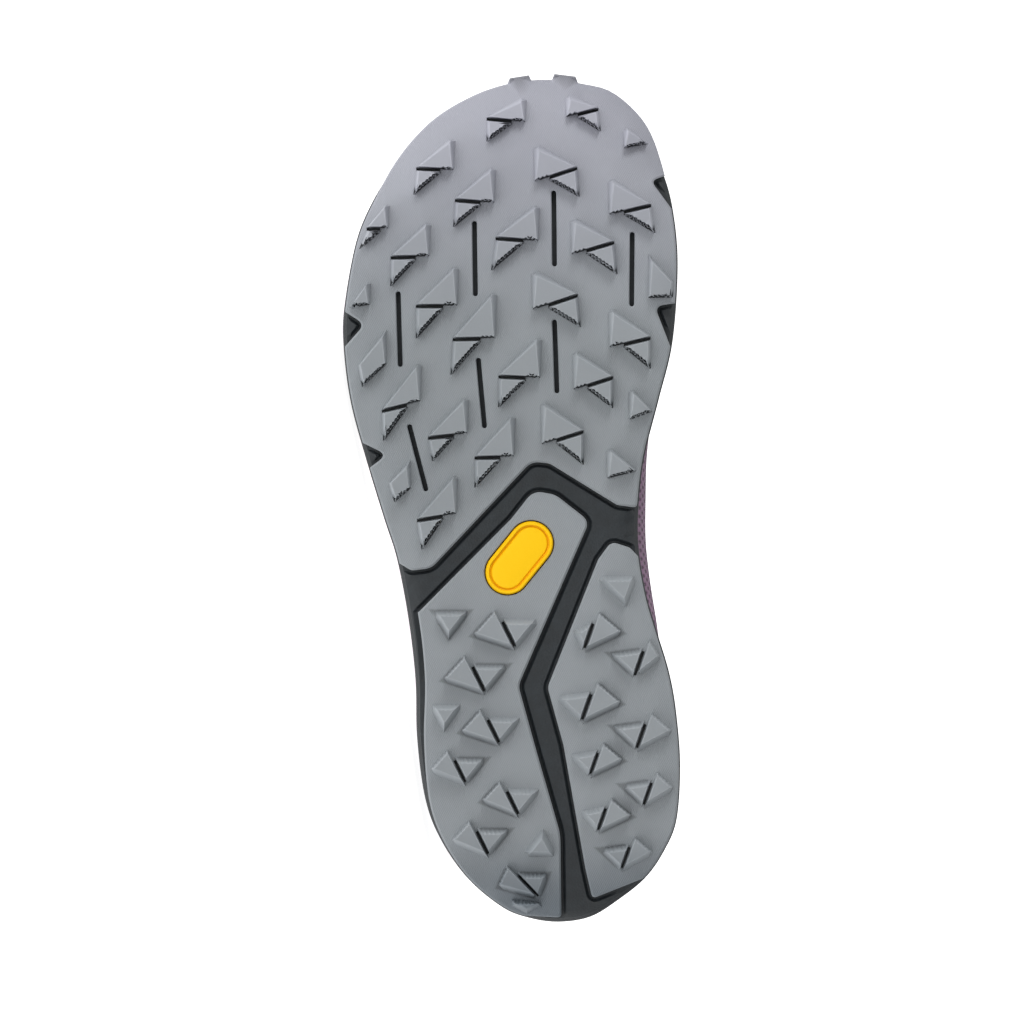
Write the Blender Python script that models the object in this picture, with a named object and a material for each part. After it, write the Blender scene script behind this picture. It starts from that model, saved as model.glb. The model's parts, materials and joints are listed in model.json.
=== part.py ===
"""A right trail running shoe, empty, lying on its little-toe side with its sole upright.

The shoe is modelled in its own axes, in metres: X runs from the heel to the toe, Y from the
little-toe side to the big-toe side, and Z up from the plane of the lug tops. At the end an empty
turns those axes so that the shoe lies on its sole edge and its upper.

Places on the sole are shares: "along" of LENGTH from the heel, "across" of BALL_WIDTH from the
line through the middle of the ball. The heel is stretched from them to HEEL_WIDTH.
"""

import math
from collections import namedtuple

import bmesh
import bpy
import numpy as np
from mathutils import Matrix, Vector, geometry

# Lengths and widths of the sole
LENGTH = 0.285
BALL_WIDTH = 0.1122
HEEL_WIDTH = 0.088
HEEL_WIDTH_DRAWN = 0.784  # share of BALL_WIDTH that the heel takes in the tables

# Heights of the last, from the plane of the lug tops
HEEL_HEIGHT = 0.101
ANKLE_HEIGHT = 0.081
INSTEP_HEIGHT = 0.104
TOE_HEIGHT = 0.068

# Foam under the foot, and the bottom profile
HEEL_FOAM = 0.025
BALL_FOAM = 0.020
TOE_FOAM = 0.013
TOE_SPRING = 0.015
SPRING_START = 0.66  # share of LENGTH
HEEL_BEVEL = 0.011
ARCH_LIFT = 0.0022
EDGE_ROLL = 0.0012
EDGE_ROLL_WIDTH = 0.006
TOE_ROLL = 0.0075
TOE_ROLL_WIDTH = 0.020

# Rubber
RUBBER = 0.0025
LUG_HEIGHT = 0.0042
LUG_WIDTH = 0.0134
SIPE_WIDTH = 0.0011
PEAK_BACK = 0.0030  # of the top of a fore lug's peak behind its foot
PEAK_IN = 0.0020  # and towards the lug's far corner
PEAK_LEAN = 0.0007  # of the foot of the peak, past the corner below it
SMALL_LUG = 0.66  # share of the big lug's base that the small one takes
SLOT_WIDTH = 0.0016
PAD_MARGIN = 0.0006
WAIST_MARGIN = 0.0036

# Walls, rims and clearances
GAP = 0.0003
SOLE_GAP = 0.00055
OVERLAY_GAP = 0.0005
RIM_WIDTH = 0.0012
RIM_HEIGHT = 0.002
SIDE_LEAN = 0.004
TOE_SETBACK = 0.0011  # of the foam behind the rubber's edge, round the toe
UPPER_WALL = 0.0022
INSOLE = 0.004
INSOLE_PLAY = 0.0014
OVERLAY = 0.0011
TONGUE = 0.004
TONGUE_RISE = 0.024
LACE_WIDTH = 0.006
LACE_THICKNESS = 0.0014
EYELET_PAIRS = 6
LOOP_WIDTH = 0.012
LOOP_THICKNESS = 0.0014
LOOP_RISE = 0.010
BADGE_LENGTH = 0.0274
BADGE_WIDTH = 0.0149
BADGE_TILT = math.radians(39)
BADGE_RIM = 0.0009

# Densities, kg per cubic metre, for the balance of the lying shoe
RUBBER_DENSITY = 1100
FOAM_DENSITY = 170
TEXTILE_DENSITY = 550

# Mesh fineness
AROUND = 64
UP = 9
POINT_SPACING = 0.010
TOE_POINT_SPACING = 0.007

Edge = namedtuple("Edge", "along across")
SOLE_EDGE = (
    Edge(0.000, 0.138),
    Edge(0.005, 0.049),
    Edge(0.018, -0.031),
    Edge(0.053, -0.135),
    Edge(0.100, -0.216),
    Edge(0.147, -0.260),
    Edge(0.217, -0.284),
    Edge(0.287, -0.289),
    Edge(0.358, -0.310),
    Edge(0.428, -0.344),
    Edge(0.475, -0.382),
    Edge(0.545, -0.436),
    Edge(0.616, -0.484),
    Edge(0.686, -0.505),
    Edge(0.733, -0.499),
    Edge(0.803, -0.466),
    Edge(0.850, -0.418),
    Edge(0.897, -0.350),
    Edge(0.944, -0.246),
    Edge(0.974, -0.127),
    Edge(0.990, -0.013),
    Edge(0.995, 0.100),
    Edge(0.990, 0.213),
    Edge(0.979, 0.305),
    Edge(0.944, 0.397),
    Edge(0.897, 0.448),
    Edge(0.850, 0.478),
    Edge(0.780, 0.496),
    Edge(0.686, 0.481),
    Edge(0.616, 0.439),
    Edge(0.551, 0.397),
    Edge(0.498, 0.380),
    Edge(0.446, 0.378),
    Edge(0.390, 0.400),
    Edge(0.344, 0.433),
    Edge(0.297, 0.469),
    Edge(0.252, 0.490),
    Edge(0.188, 0.503),
    Edge(0.123, 0.493),
    Edge(0.086, 0.457),
    Edge(0.053, 0.400),
    Edge(0.026, 0.317),
    Edge(0.006, 0.234),
)

# Wedges cut into the edge of the forefoot pad, where the foam shows
Notch = namedtuple("Notch", "front deep deep_across rear")
LATERAL_NOTCHES = (
    Notch(0.719, 0.703, -0.451, 0.678),
    Notch(0.565, 0.551, -0.385, 0.536),
)
MEDIAL_NOTCHES = (
    Notch(0.880, 0.871, 0.426, 0.841),
    Notch(0.729, 0.722, 0.434, 0.678),
)

# Corners of the pads where they leave the sole's edge; each is rounded to its radius
Corner = namedtuple("Corner", "along across radius")
FOREFOOT_REAR = (
    Corner(0.489, 0.372, 0.003),
    Corner(0.492, 0.314, 0.005),
    Corner(0.541, 0.112, 0.006),
    Corner(0.543, 0.058, 0.008),
    Corner(0.418, -0.240, 0.006),
    Corner(0.415, -0.300, 0.003),
)
HEEL_LATERAL_INNER = (
    Corner(0.368, -0.274, 0.002),
    Corner(0.476, -0.002, 0.010),
    Corner(0.509, 0.064, 0.006),
    Corner(0.504, 0.130, 0.007),
    Corner(0.473, 0.231, 0.004),
    Corner(0.280, 0.019, 0.006),
    Corner(0.203, 0.073, 0.020),
    Corner(0.106, 0.144, 0.020),
    Corner(0.006, 0.148, 0.0015),
)
HEEL_MEDIAL_INNER = (
    Corner(0.053, 0.392, 0.003),
    Corner(0.029, 0.240, 0.0015),
    Corner(0.065, 0.219, 0.010),
    Corner(0.211, 0.153, 0.020),
    Corner(0.278, 0.106, 0.005),
    Corner(0.428, 0.257, 0.004),
    Corner(0.449, 0.296, 0.003),
    Corner(0.442, 0.352, 0.004),
)
HEEL_LATERAL_EDGE = (0.008, 0.366)
HEEL_MEDIAL_EDGE = (0.062, 0.436)
FOREFOOT_LATERAL_EDGE = (0.420, 0.990)
FOREFOOT_MEDIAL_EDGE = (0.496, 0.990)

Slot = namedtuple("Slot", "front front_across rear rear_across")
SLOTS = (
    Slot(0.823, -0.112, 0.740, -0.109),
    Slot(0.859, 0.125, 0.775, 0.127),
    Slot(0.810, 0.359, 0.728, 0.357),
    Slot(0.740, -0.339, 0.657, -0.333),
    Slot(0.662, -0.100, 0.585, -0.082),
    Slot(0.707, 0.127, 0.626, 0.134),
    Slot(0.584, -0.305, 0.511, -0.257),
)

# Forefoot lugs, placed by the corner under the peak. The base runs outwards from it for "wide",
# ends "lift" higher, and a small triangle hangs "drop" below that end, past a sipe, its low corner
# "splay" further out. The last five columns are shares of LUG_WIDTH.
ForeLug = namedtuple("ForeLug", "along across wide tall lift drop splay")
FORE_LATERAL = (
    ForeLug(0.944, 0.040, 0.98, 0.72, 0.10, 0.53, 0.00),
    ForeLug(0.887, -0.174, 0.95, 0.90, 0.05, 0.61, 0.06),
    ForeLug(0.848, -0.052, 1.00, 1.00, 0.08, 0.62, 0.04),
    ForeLug(0.818, -0.369, 0.55, 0.72, 0.00, 0.45, 0.18),
    ForeLug(0.785, -0.246, 0.98, 0.95, -0.02, 0.67, 0.00),
    ForeLug(0.803, 0.079, 1.08, 1.00, 0.08, 0.75, 0.11),
    ForeLug(0.727, -0.162, 1.05, 1.10, 0.00, 0.76, 0.00),
    ForeLug(0.689, -0.049, 1.08, 1.25, -0.02, 0.84, 0.05),
    ForeLug(0.728, -0.424, 0.51, 0.68, -0.08, 0.00, 0.00),
    ForeLug(0.615, -0.272, 0.98, 1.06, -0.24, 0.69, -0.04),
    ForeLug(0.642, 0.085, 1.06, 1.12, 0.05, 0.72, 0.00),
    ForeLug(0.577, -0.132, 1.00, 1.00, -0.10, 0.53, -0.11),
    ForeLug(0.550, 0.007, 1.00, 1.12, -0.02, 0.70, 0.00),
    ForeLug(0.483, -0.165, 1.00, 1.06, -0.16, 0.68, -0.12),
)
FORE_MEDIAL = (
    ForeLug(0.950, 0.162, 0.82, 0.66, 0.22, 0.51, 0.06),
    ForeLug(0.913, 0.335, 0.60, 0.65, 0.12, 0.00, 0.00),
    ForeLug(0.873, 0.067, 1.08, 1.00, 0.36, 0.67, 0.06),
    ForeLug(0.834, 0.290, 1.06, 1.00, 0.25, 0.64, 0.10),
    ForeLug(0.787, 0.177, 1.08, 1.00, 0.32, 0.75, 0.08),
    ForeLug(0.722, 0.061, 1.14, 1.06, 0.38, 0.75, 0.08),
    ForeLug(0.678, 0.290, 1.04, 1.05, 0.25, 0.72, 0.00),
    ForeLug(0.628, 0.183, 1.00, 1.06, 0.33, 0.72, 0.00),
    ForeLug(0.593, 0.350, 0.58, 0.86, 0.20, 0.00, 0.00),
    ForeLug(0.564, 0.088, 1.06, 1.14, 0.34, 0.78, 0.00),
    ForeLug(0.524, 0.284, 0.72, 0.86, 0.18, 0.00, 0.00),
)

# Four-sided lugs at the forefoot's edge: inner corner at the heel side, height of the inner edge,
# and the two outer corners from that corner, front one first, in shares of LUG_WIDTH
EdgeLug = namedtuple("EdgeLug", "along across tall out_front up_front out_rear up_rear")
EDGE_LUGS = (
    EdgeLug(0.659, -0.374, 0.82, -0.72, -0.08, -0.62, -0.60),
    EdgeLug(0.513, -0.302, 0.68, -0.56, 0.08, -0.42, -0.36),
    EdgeLug(0.736, 0.406, 1.08, 0.69, 0.36, 0.68, -0.05),
)

# Heel lugs in pairs, placed by the peak of the big one; "outer" shortens its outer corner, and
# "lean" shears the pair inwards towards the heel
HeelLug = namedtuple("HeelLug", "along across size outer lean", defaults=(0,))
HEEL_LATERAL_LUGS = (
    HeelLug(0.368, -0.052, 1.00, 1.0),
    HeelLug(0.315, -0.141, 0.98, 1.0),
    HeelLug(0.252, -0.094, 0.92, 1.0),
    HeelLug(0.204, -0.192, 0.88, 0.95),
    HeelLug(0.168, -0.037, 0.92, 0.9),
    HeelLug(0.121, -0.127, 0.92, 0.9),
    HeelLug(0.068, -0.014, 0.85, 1.0, 0.45),
)
HEEL_MEDIAL_LUGS = (
    HeelLug(0.366, 0.260, 0.94, 1.0),
    HeelLug(0.334, 0.410, 0.94, 1.0),
    HeelLug(0.284, 0.255, 0.98, 1.0),
    HeelLug(0.248, 0.415, 0.92, 0.95),
    HeelLug(0.213, 0.272, 0.82, 1.0),
    HeelLug(0.178, 0.432, 0.84, 0.9),
    HeelLug(0.148, 0.296, 0.84, 1.0),
    HeelLug(0.102, 0.366, 0.82, 0.9),
)
HEEL_MEDIAL_TURN = math.radians(7)

# Corners of a heel pair from its peak, towards the heel pad's outer side and the toe, in shares
# of LUG_WIDTH
HeelPair = namedtuple("HeelPair", "outer low sipe_front far_front sipe_rear")
HEEL_PAIR = HeelPair((0.55, -0.60), (-0.48, -0.94), (-0.24, -0.25), (-1.06, -0.26), (-0.55, -0.88))

# Single triangles: middle of the straight side, its length, and the point's reach to the heel
SingleLug = namedtuple("SingleLug", "along across wide drop shift")
HEEL_LATERAL_SINGLES = (
    SingleLug(0.366, -0.182, 0.82, 0.60, -0.05),
    SingleLug(0.256, -0.196, 0.70, 0.56, -0.05),
    SingleLug(0.081, 0.082, 0.74, -0.56, 0.08),
    SingleLug(0.026, 0.044, 1.05, 0.28, 0.00),
)
HEEL_MEDIAL_SINGLES = (SingleLug(0.407, 0.312, 0.92, 0.66, 0.22),)

# Lugs on the toe's own edge, seen past it: place across, width and reach as shares of LUG_WIDTH
TipLug = namedtuple("TipLug", "across wide reach")
TIP_LUGS = (TipLug(0.022, 0.60, 0.13), TipLug(0.159, 0.66, 0.15))

BADGE_PLACE = Edge(0.430, 0.022)

# Steps and ribs of the foam's side: share of its height, share of SIDE_LEAN that it is set in
Step = namedtuple("Step", "height inset")
SIDE_STEPS = (
    Step(0.00, 0.36),
    Step(0.11, 0.09),
    Step(0.20, 0.00),
    Step(0.30, 0.07),
    Step(0.35, 0.34),
    Step(0.41, 0.14),
    Step(0.55, 0.26),
    Step(0.60, 0.54),
    Step(0.66, 0.36),
    Step(0.86, 0.72),
    Step(1.00, 1.00),
)

# Sections of the last, from the back of the heel (around 0) to the tip of the toe (around 1).
# "top" columns place the edge of collar and throat, "height" is a share of the named size,
# "low" columns are how far the wall bulges past its foot in shares of BALL_WIDTH, "high" the same
# near the top, and "round" is the exponent of the wall's turn inwards: 2 leans, 1 is an ellipse,
# less is boxy.
Section = namedtuple(
    "Section", "around top_along top_lateral top_medial size height low_lateral low_medial high round"
)
SECTIONS = (
    Section(0.00, 0.020, 0.135, 0.135, HEEL_HEIGHT, 1.00, 0.045, 0.045, -0.020, 1.8),
    Section(0.10, 0.045, -0.020, 0.270, HEEL_HEIGHT, 0.97, 0.040, 0.040, -0.015, 1.8),
    Section(0.20, 0.140, -0.130, 0.375, ANKLE_HEIGHT, 1.06, 0.035, 0.030, -0.005, 1.9),
    Section(0.30, 0.255, -0.150, 0.385, ANKLE_HEIGHT, 1.02, 0.045, 0.045, 0.000, 1.9),
    Section(0.40, 0.352, -0.115, 0.300, INSTEP_HEIGHT, 0.99, 0.060, 0.085, 0.010, 1.3),
    Section(0.50, 0.440, -0.105, 0.225, INSTEP_HEIGHT, 0.97, 0.045, 0.085, 0.020, 1.0),
    Section(0.60, 0.530, -0.100, 0.170, INSTEP_HEIGHT, 0.87, 0.025, 0.045, 0.030, 0.9),
    Section(0.70, 0.605, -0.090, 0.125, INSTEP_HEIGHT, 0.77, 0.020, 0.022, 0.034, 0.8),
    Section(0.80, 0.665, -0.068, 0.090, TOE_HEIGHT, 1.07, 0.012, 0.012, 0.034, 0.7),
    Section(0.90, 0.698, -0.035, 0.056, TOE_HEIGHT, 1.02, 0.008, 0.008, 0.032, 0.62),
    Section(1.00, 0.708, 0.011, 0.011, TOE_HEIGHT, 1.00, 0.006, 0.006, 0.030, 0.60),
)

Paint = namedtuple("Paint", "color roughness density")
PAINTS = {
    "rubber": Paint((0.27, 0.29, 0.31, 1), 0.6, RUBBER_DENSITY),
    "badge_yellow": Paint((0.95, 0.65, 0.0, 1), 0.45, RUBBER_DENSITY),
    "foam": Paint((0.03, 0.033, 0.036, 1), 0.75, FOAM_DENSITY),
    "insole_foam": Paint((0.12, 0.11, 0.13, 1), 0.9, FOAM_DENSITY),
    "mesh": Paint((0.20, 0.11, 0.18, 1), 0.9, TEXTILE_DENSITY),
    "overlay": Paint((0.25, 0.26, 0.30, 1), 0.55, RUBBER_DENSITY),
    "lace": Paint((0.30, 0.27, 0.32, 1), 0.85, TEXTILE_DENSITY),
    "webbing": Paint((0.16, 0.04, 0.07, 1), 0.85, TEXTILE_DENSITY),
}


def smooth(value, low, high):
    """0 below low, 1 above high, and a smooth step between."""
    t = np.clip((np.asarray(value, float) - low) / (high - low), 0, 1)
    return t * t * (3 - 2 * t)


def plan(points):
    """Turn (along, across) shares into metres."""
    points = np.atleast_2d(np.asarray(points, float))
    heel = HEEL_WIDTH / (HEEL_WIDTH_DRAWN * BALL_WIDTH)
    stretch = heel + (1 - heel) * smooth(points[:, 0], 0.30, 0.60)
    return np.column_stack([points[:, 0] * LENGTH, points[:, 1] * BALL_WIDTH * stretch])


def closed_curve(points, steps):
    """Smooth closed curve through the points, with so many steps from each to the next."""
    p1 = np.asarray(points, float)
    p0, p2, p3 = np.roll(p1, 1, 0), np.roll(p1, -1, 0), np.roll(p1, -2, 0)
    t = (np.arange(steps) / steps)[None, :, None]
    p0, p1, p2, p3 = (p[:, None, :] for p in (p0, p1, p2, p3))
    curve = 0.5 * (
        2 * p1
        + (p2 - p0) * t
        + (2 * p0 - 5 * p1 + 4 * p2 - p3) * t**2
        + (3 * p1 - p0 - 3 * p2 + p3) * t**3
    )
    return curve.reshape(-1, p1.shape[2])


def walked(line):
    """Length walked along an open line up to each of its points."""
    return np.concatenate([[0], np.cumsum(np.linalg.norm(np.diff(line, axis=0), axis=1))])


def along_line(line, places):
    """Points of an open line at distances from its start."""
    walk = walked(line)
    return np.column_stack([np.interp(places, walk, line[:, i]) for i in range(line.shape[1])])


EDGE_CURVE = closed_curve(plan(SOLE_EDGE), 12)
TOE_INDEX = int(EDGE_CURVE[:, 0].argmax())
LATERAL_EDGE = EDGE_CURVE[: TOE_INDEX + 1]
MEDIAL_EDGE = np.vstack([EDGE_CURVE[TOE_INDEX:], EDGE_CURVE[:1]])[::-1]


def edge_at(around):
    """Points of the sole's edge: 0 is the back of the heel, 0.5 the toe, lateral side first."""
    around = np.asarray(around, float) % 1
    lateral = along_line(LATERAL_EDGE, 2 * around * walked(LATERAL_EDGE)[-1])
    medial = along_line(MEDIAL_EDGE, 2 * (1 - around) * walked(MEDIAL_EDGE)[-1])
    return np.where((around <= 0.5)[:, None], lateral, medial)


def inward(loop):
    """Unit normals that point into a loop which runs anticlockwise."""
    tangent = np.roll(loop, -1, 0) - np.roll(loop, 1, 0)
    tangent /= np.linalg.norm(tangent, axis=1)[:, None]
    return np.column_stack([-tangent[:, 1], tangent[:, 0]])


def inset(loop, distance):
    return loop + inward(loop) * np.reshape(distance, (-1, 1))


def edge_distance(points):
    """How far each point lies from the sole's edge."""
    gaps = points[:, None, :] - EDGE_CURVE[None, ::2, :]
    return np.sqrt((gaps**2).sum(axis=2)).min(axis=1)


def spring(x):
    """Rise of the last towards the toe."""
    start = SPRING_START * LENGTH
    return TOE_SPRING * np.clip((x - start) / (LENGTH - start), 0, 1) ** 2


def rise(points):
    """Height of the bottom profile over the ground plane: spring, bevel, arch and rolled edge."""
    x = points[:, 0]
    bevel = HEEL_BEVEL * np.clip((0.16 * LENGTH - x) / (0.16 * LENGTH), 0, 1) ** 2
    arch = ARCH_LIFT * smooth(x, 0.29 * LENGTH, 0.43 * LENGTH)
    arch = arch * smooth(-x, -0.60 * LENGTH, -0.46 * LENGTH)
    toe = smooth(x, 0.78 * LENGTH, 0.93 * LENGTH)
    height = EDGE_ROLL + (TOE_ROLL - EDGE_ROLL) * toe
    width = EDGE_ROLL_WIDTH + (TOE_ROLL_WIDTH - EDGE_ROLL_WIDTH) * toe
    roll = height * np.clip(1 - edge_distance(points) / width, 0, 1) ** 2
    return spring(x) + bevel + arch + roll


PAD_FACE = LUG_HEIGHT
PAD_BACK = PAD_FACE + RUBBER
FOAM_BOTTOM = PAD_BACK + SOLE_GAP


def footbed(x):
    """Height of the top of the foam, inside its rim."""
    places = np.array([0.0, 0.25, 0.68, 1.0]) * LENGTH
    foam = np.interp(x, places, [HEEL_FOAM, HEEL_FOAM, BALL_FOAM, TOE_FOAM])
    return FOAM_BOTTOM + spring(x) + foam


def lifted(points, level):
    """Points of the plan, bent to the bottom profile at a level above the lug tops."""
    return np.column_stack([points, level + rise(points)])


def inside(points, loop):
    """Which points lie inside a loop."""
    x, y = points[:, 0][:, None], points[:, 1][:, None]
    x0, y0 = loop[:, 0], loop[:, 1]
    x1, y1 = np.roll(x0, -1), np.roll(y0, -1)
    crosses = (y0 > y) != (y1 > y)
    slope = (x1 - x0) / np.where(y1 == y0, 1e-12, y1 - y0)
    return (crosses & (x < x0 + (y - y0) * slope)).sum(axis=1) % 2 == 1


def clear_of(points, loop, margin):
    """Which points keep a margin to a loop's line."""
    start = loop[None]
    run = np.roll(loop, -1, 0)[None] - start
    away = points[:, None] - start
    t = np.clip((away * run).sum(2) / np.maximum((run**2).sum(2), 1e-18), 0, 1)
    return np.linalg.norm(away - run * t[..., None], axis=2).min(axis=1) > margin


def bending_points():
    """Points spread over the sole, closer where it curves, so that flat triangles follow it."""
    points = []
    for spacing, low, high in (
        (TOE_POINT_SPACING, -1.0, 0.10),
        (POINT_SPACING, 0.10, 0.72),
        (TOE_POINT_SPACING, 0.72, 2.0),
    ):
        for row in range(int(1.1 * LENGTH / (spacing * 0.87))):
            x = row * spacing * 0.87
            if low * LENGTH <= x < high * LENGTH:
                ys = (np.arange(-12, 13) + 0.5 * (row % 2)) * spacing
                points.append(np.column_stack([np.full(len(ys), x), ys]))
    points = np.vstack(points)
    rings = [inset(edge_at(np.arange(AROUND) / AROUND), d * EDGE_ROLL_WIDTH) for d in (0.5, 1.0)]
    keep = inside(points, inset(EDGE_CURVE[::4], EDGE_ROLL_WIDTH + 0.3 * TOE_POINT_SPACING))
    return np.vstack([points[keep], *rings])


BENDING_POINTS = bending_points()


def filled(outline, holes, relief, levels, margin=0.0011):
    """Triangles that fill an outline around its holes. relief is a list of closed loops whose
    points take the heights in levels. Gives the points, their levels and the triangles."""
    loops = [outline, *holes, *relief]
    points = BENDING_POINTS[inside(BENDING_POINTS, outline)]
    for loop in holes + relief:
        points = points[~inside(points, loop)]
    for loop in loops:
        points = points[clear_of(points, loop, margin)]
    verts = np.vstack([*loops, points])
    level = np.zeros(len(verts))
    edges = []
    start = 0
    for number, loop in enumerate(loops):
        size = len(loop)
        edges += [(start + i, start + (i + 1) % size) for i in range(size)]
        if number > len(holes):
            level[start : start + size] = levels[number - 1 - len(holes)]
        start += size
    found = geometry.delaunay_2d_cdt([Vector(v) for v in verts], edges, [], 1, 1e-7)
    flat = np.array([tuple(v) for v in found[0]])
    level = np.array([level[ids[0]] if ids else 0.0 for ids in found[3]])
    faces = np.array([face for face in found[2]])
    middles = flat[faces].mean(axis=1)
    for hole in holes:
        faces = faces[~inside(middles, hole)]
        middles = flat[faces].mean(axis=1)
    return flat, level, faces


def new_object(name, verts, faces, paint):
    mesh = bpy.data.meshes.new(name)
    mesh.from_pydata([tuple(v) for v in verts], [], [tuple(int(i) for i in f) for f in faces])
    bm = bmesh.new()
    bm.from_mesh(mesh)
    bmesh.ops.remove_doubles(bm, verts=bm.verts, dist=1e-6)
    loose = [v for v in bm.verts if not v.link_faces]
    bmesh.ops.delete(bm, geom=loose, context="VERTS")
    bmesh.ops.recalc_face_normals(bm, faces=bm.faces)
    if bm.calc_volume(signed=True) < 0:
        bmesh.ops.reverse_faces(bm, faces=bm.faces)
    bm.to_mesh(mesh)
    bm.free()
    mesh.materials.append(MATERIALS[paint])
    mesh["density"] = PAINTS[paint].density
    obj = bpy.data.objects.new(name, mesh)
    SHOE.objects.link(obj)
    return obj


def plate(name, outline, holes, relief, levels, paint, face_level, back_level):
    """A sheet between two levels of the bottom profile, with relief on the face towards the
    ground. The levels may be functions of the plan's points."""
    front, level, front_faces = filled(outline, holes, relief, levels)
    back, _, back_faces = filled(outline, holes, [], [])
    verts = np.vstack([lifted(front, face_level + level), back_level(back)])
    faces = [tuple(f[::-1]) for f in front_faces] + [tuple(f + len(front)) for f in back_faces]
    for loop in [outline, *holes]:
        size = len(loop)
        low = [nearest(front, point) for point in loop]
        high = [nearest(back, point) + len(front) for point in loop]
        for i in range(size):
            j = (i + 1) % size
            faces.append((low[i], low[j], high[j], high[i]))
    return new_object(name, verts, faces, paint)


def nearest(points, place):
    return int(((points - place) ** 2).sum(axis=1).argmin())


def loft(name, sections, closed, paint):
    """Skin over closed sections of equal point count, capped at its ends or closed in a ring.
    A section runs up one face of a wall and down the other, and the diagonals of both halves
    run the same way, so that neighbouring walls fold along the same lines."""
    count = len(sections)
    size = len(sections[0])
    verts = np.vstack(sections)
    faces = []
    for i in range(count if closed else count - 1):
        a, b = i * size, (i + 1) % count * size
        for j in range(size):
            k = (j + 1) % size
            if j < size // 2:
                faces += [(a + j, a + k, b + k), (a + j, b + k, b + j)]
            else:
                faces += [(a + j, a + k, b + j), (a + k, b + k, b + j)]
    if not closed:
        faces.append(tuple(range(size))[::-1])
        faces.append(tuple(range((count - 1) * size, count * size)))
    return new_object(name, verts, faces, paint)


def rounded(corners, arc_points=3):
    """Polygon with each corner turned into an arc of its radius."""
    places = plan([(c.along, c.across) for c in corners])
    result = []
    for i in range(1, len(corners) - 1):
        before, here, after = places[i - 1], places[i], places[i + 1]
        to_before, to_after = before - here, after - here
        reach_before, reach_after = np.linalg.norm(to_before), np.linalg.norm(to_after)
        to_before, to_after = to_before / reach_before, to_after / reach_after
        half = 0.5 * math.acos(np.clip(to_before @ to_after, -1, 1))
        cut = min(corners[i].radius / math.tan(half), 0.45 * min(reach_before, reach_after))
        start, end = here + to_before * cut, here + to_after * cut
        for t in np.linspace(0, 1, arc_points):
            result.append((1 - t) ** 2 * start + 2 * t * (1 - t) * here + t**2 * end)
    return np.vstack([places[:1], *result, places[-1:]])


def edge_run(side, low, high, margin, spacing=0.007):
    """Points of one side's edge from the heel end to the toe end, set in by a margin."""
    whole = inset(EDGE_CURVE, margin(EDGE_CURVE[:, 0]))
    part = whole[: TOE_INDEX + 1] if side < 0 else np.vstack([whole[TOE_INDEX:], whole[:1]])[::-1]
    part = part[(part[:, 0] >= low * LENGTH) & (part[:, 0] <= high * LENGTH)]
    count = max(2, round(walked(part)[-1] / spacing) + 1)
    return along_line(part, np.linspace(0, walked(part)[-1], count))


def notched(run, notches):
    """Cut wedges into a run of edge points that goes from heel to toe."""
    for notch in notches:
        keep_rear = run[run[:, 0] < notch.rear * LENGTH - 0.001]
        keep_front = run[run[:, 0] > notch.front * LENGTH + 0.001]
        rear = [notch.rear * LENGTH, np.interp(notch.rear * LENGTH, run[:, 0], run[:, 1])]
        front = [notch.front * LENGTH, np.interp(notch.front * LENGTH, run[:, 0], run[:, 1])]
        deep = plan([(notch.deep, notch.deep_across)])[0]
        depth = 0.25 * (deep[1] - front[1])
        step = 0.0016
        wedge = [rear, deep + (-step, -depth), deep, deep + (step, -depth), front]
        run = np.vstack([keep_rear, wedge, keep_front])
    return run


def plain_margin(x):
    """The pad ends short of the edge, and covers it at the toe."""
    return PAD_MARGIN * (1 - smooth(x, 0.86 * LENGTH, 0.92 * LENGTH))


def waist_margin(x):
    return PAD_MARGIN + (WAIST_MARGIN - PAD_MARGIN) * smooth(x, 0.05 * LENGTH, 0.34 * LENGTH)


def forefoot_outline():
    lateral = notched(edge_run(-1, *FOREFOOT_LATERAL_EDGE, plain_margin), LATERAL_NOTCHES)
    medial = notched(edge_run(1, *FOREFOOT_MEDIAL_EDGE, plain_margin), MEDIAL_NOTCHES)
    front_y = np.linspace(lateral[-1, 1], medial[-1, 1], 60)
    tip = EDGE_CURVE[EDGE_CURVE[:, 0] > 0.95 * LENGTH]
    order = tip[:, 1].argsort()
    front = np.column_stack([np.interp(front_y, tip[order, 1], tip[order, 0]), front_y])[1:-1]
    places = [front[::8]]
    for lug in TIP_LUGS:
        middle = lug.across * BALL_WIDTH
        half = 0.5 * lug.wide * LUG_WIDTH
        ys = middle + half * np.array([-1.0, -0.8, 0.8, 1.0])
        xs = np.interp(ys, front[:, 1], front[:, 0])
        xs[1:3] += lug.reach * LUG_WIDTH
        near = np.abs(places[0][:, 1] - middle) < half + 0.001
        places[0] = places[0][~near]
        places.append(np.column_stack([xs, ys]))
    front = np.vstack(places)
    front = front[front[:, 1].argsort()]
    rear = rounded([row_corner(medial[0]), *FOREFOOT_REAR, row_corner(lateral[0])])[1:-1]
    return np.vstack([lateral, front, medial[::-1], rear])


def row_corner(point):
    """A point in metres as a corner row, so that rounding can start from it."""
    along = point[0] / LENGTH
    return Corner(along, point[1] / plan([(along, 1.0)])[0, 1], 0.001)


def heel_outline(inner, side, edge, margin):
    run = edge_run(side, *edge, margin)
    run = run if side < 0 else run[::-1]
    path = [row_corner(run[-1]), *inner, row_corner(run[0])]
    return np.vstack([run, rounded(path)[1:-1]])


def anticlockwise(loop):
    x, y = loop[:, 0], loop[:, 1]
    area = (x * np.roll(y, -1) - y * np.roll(x, -1)).sum()
    return loop if area > 0 else loop[::-1]


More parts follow.
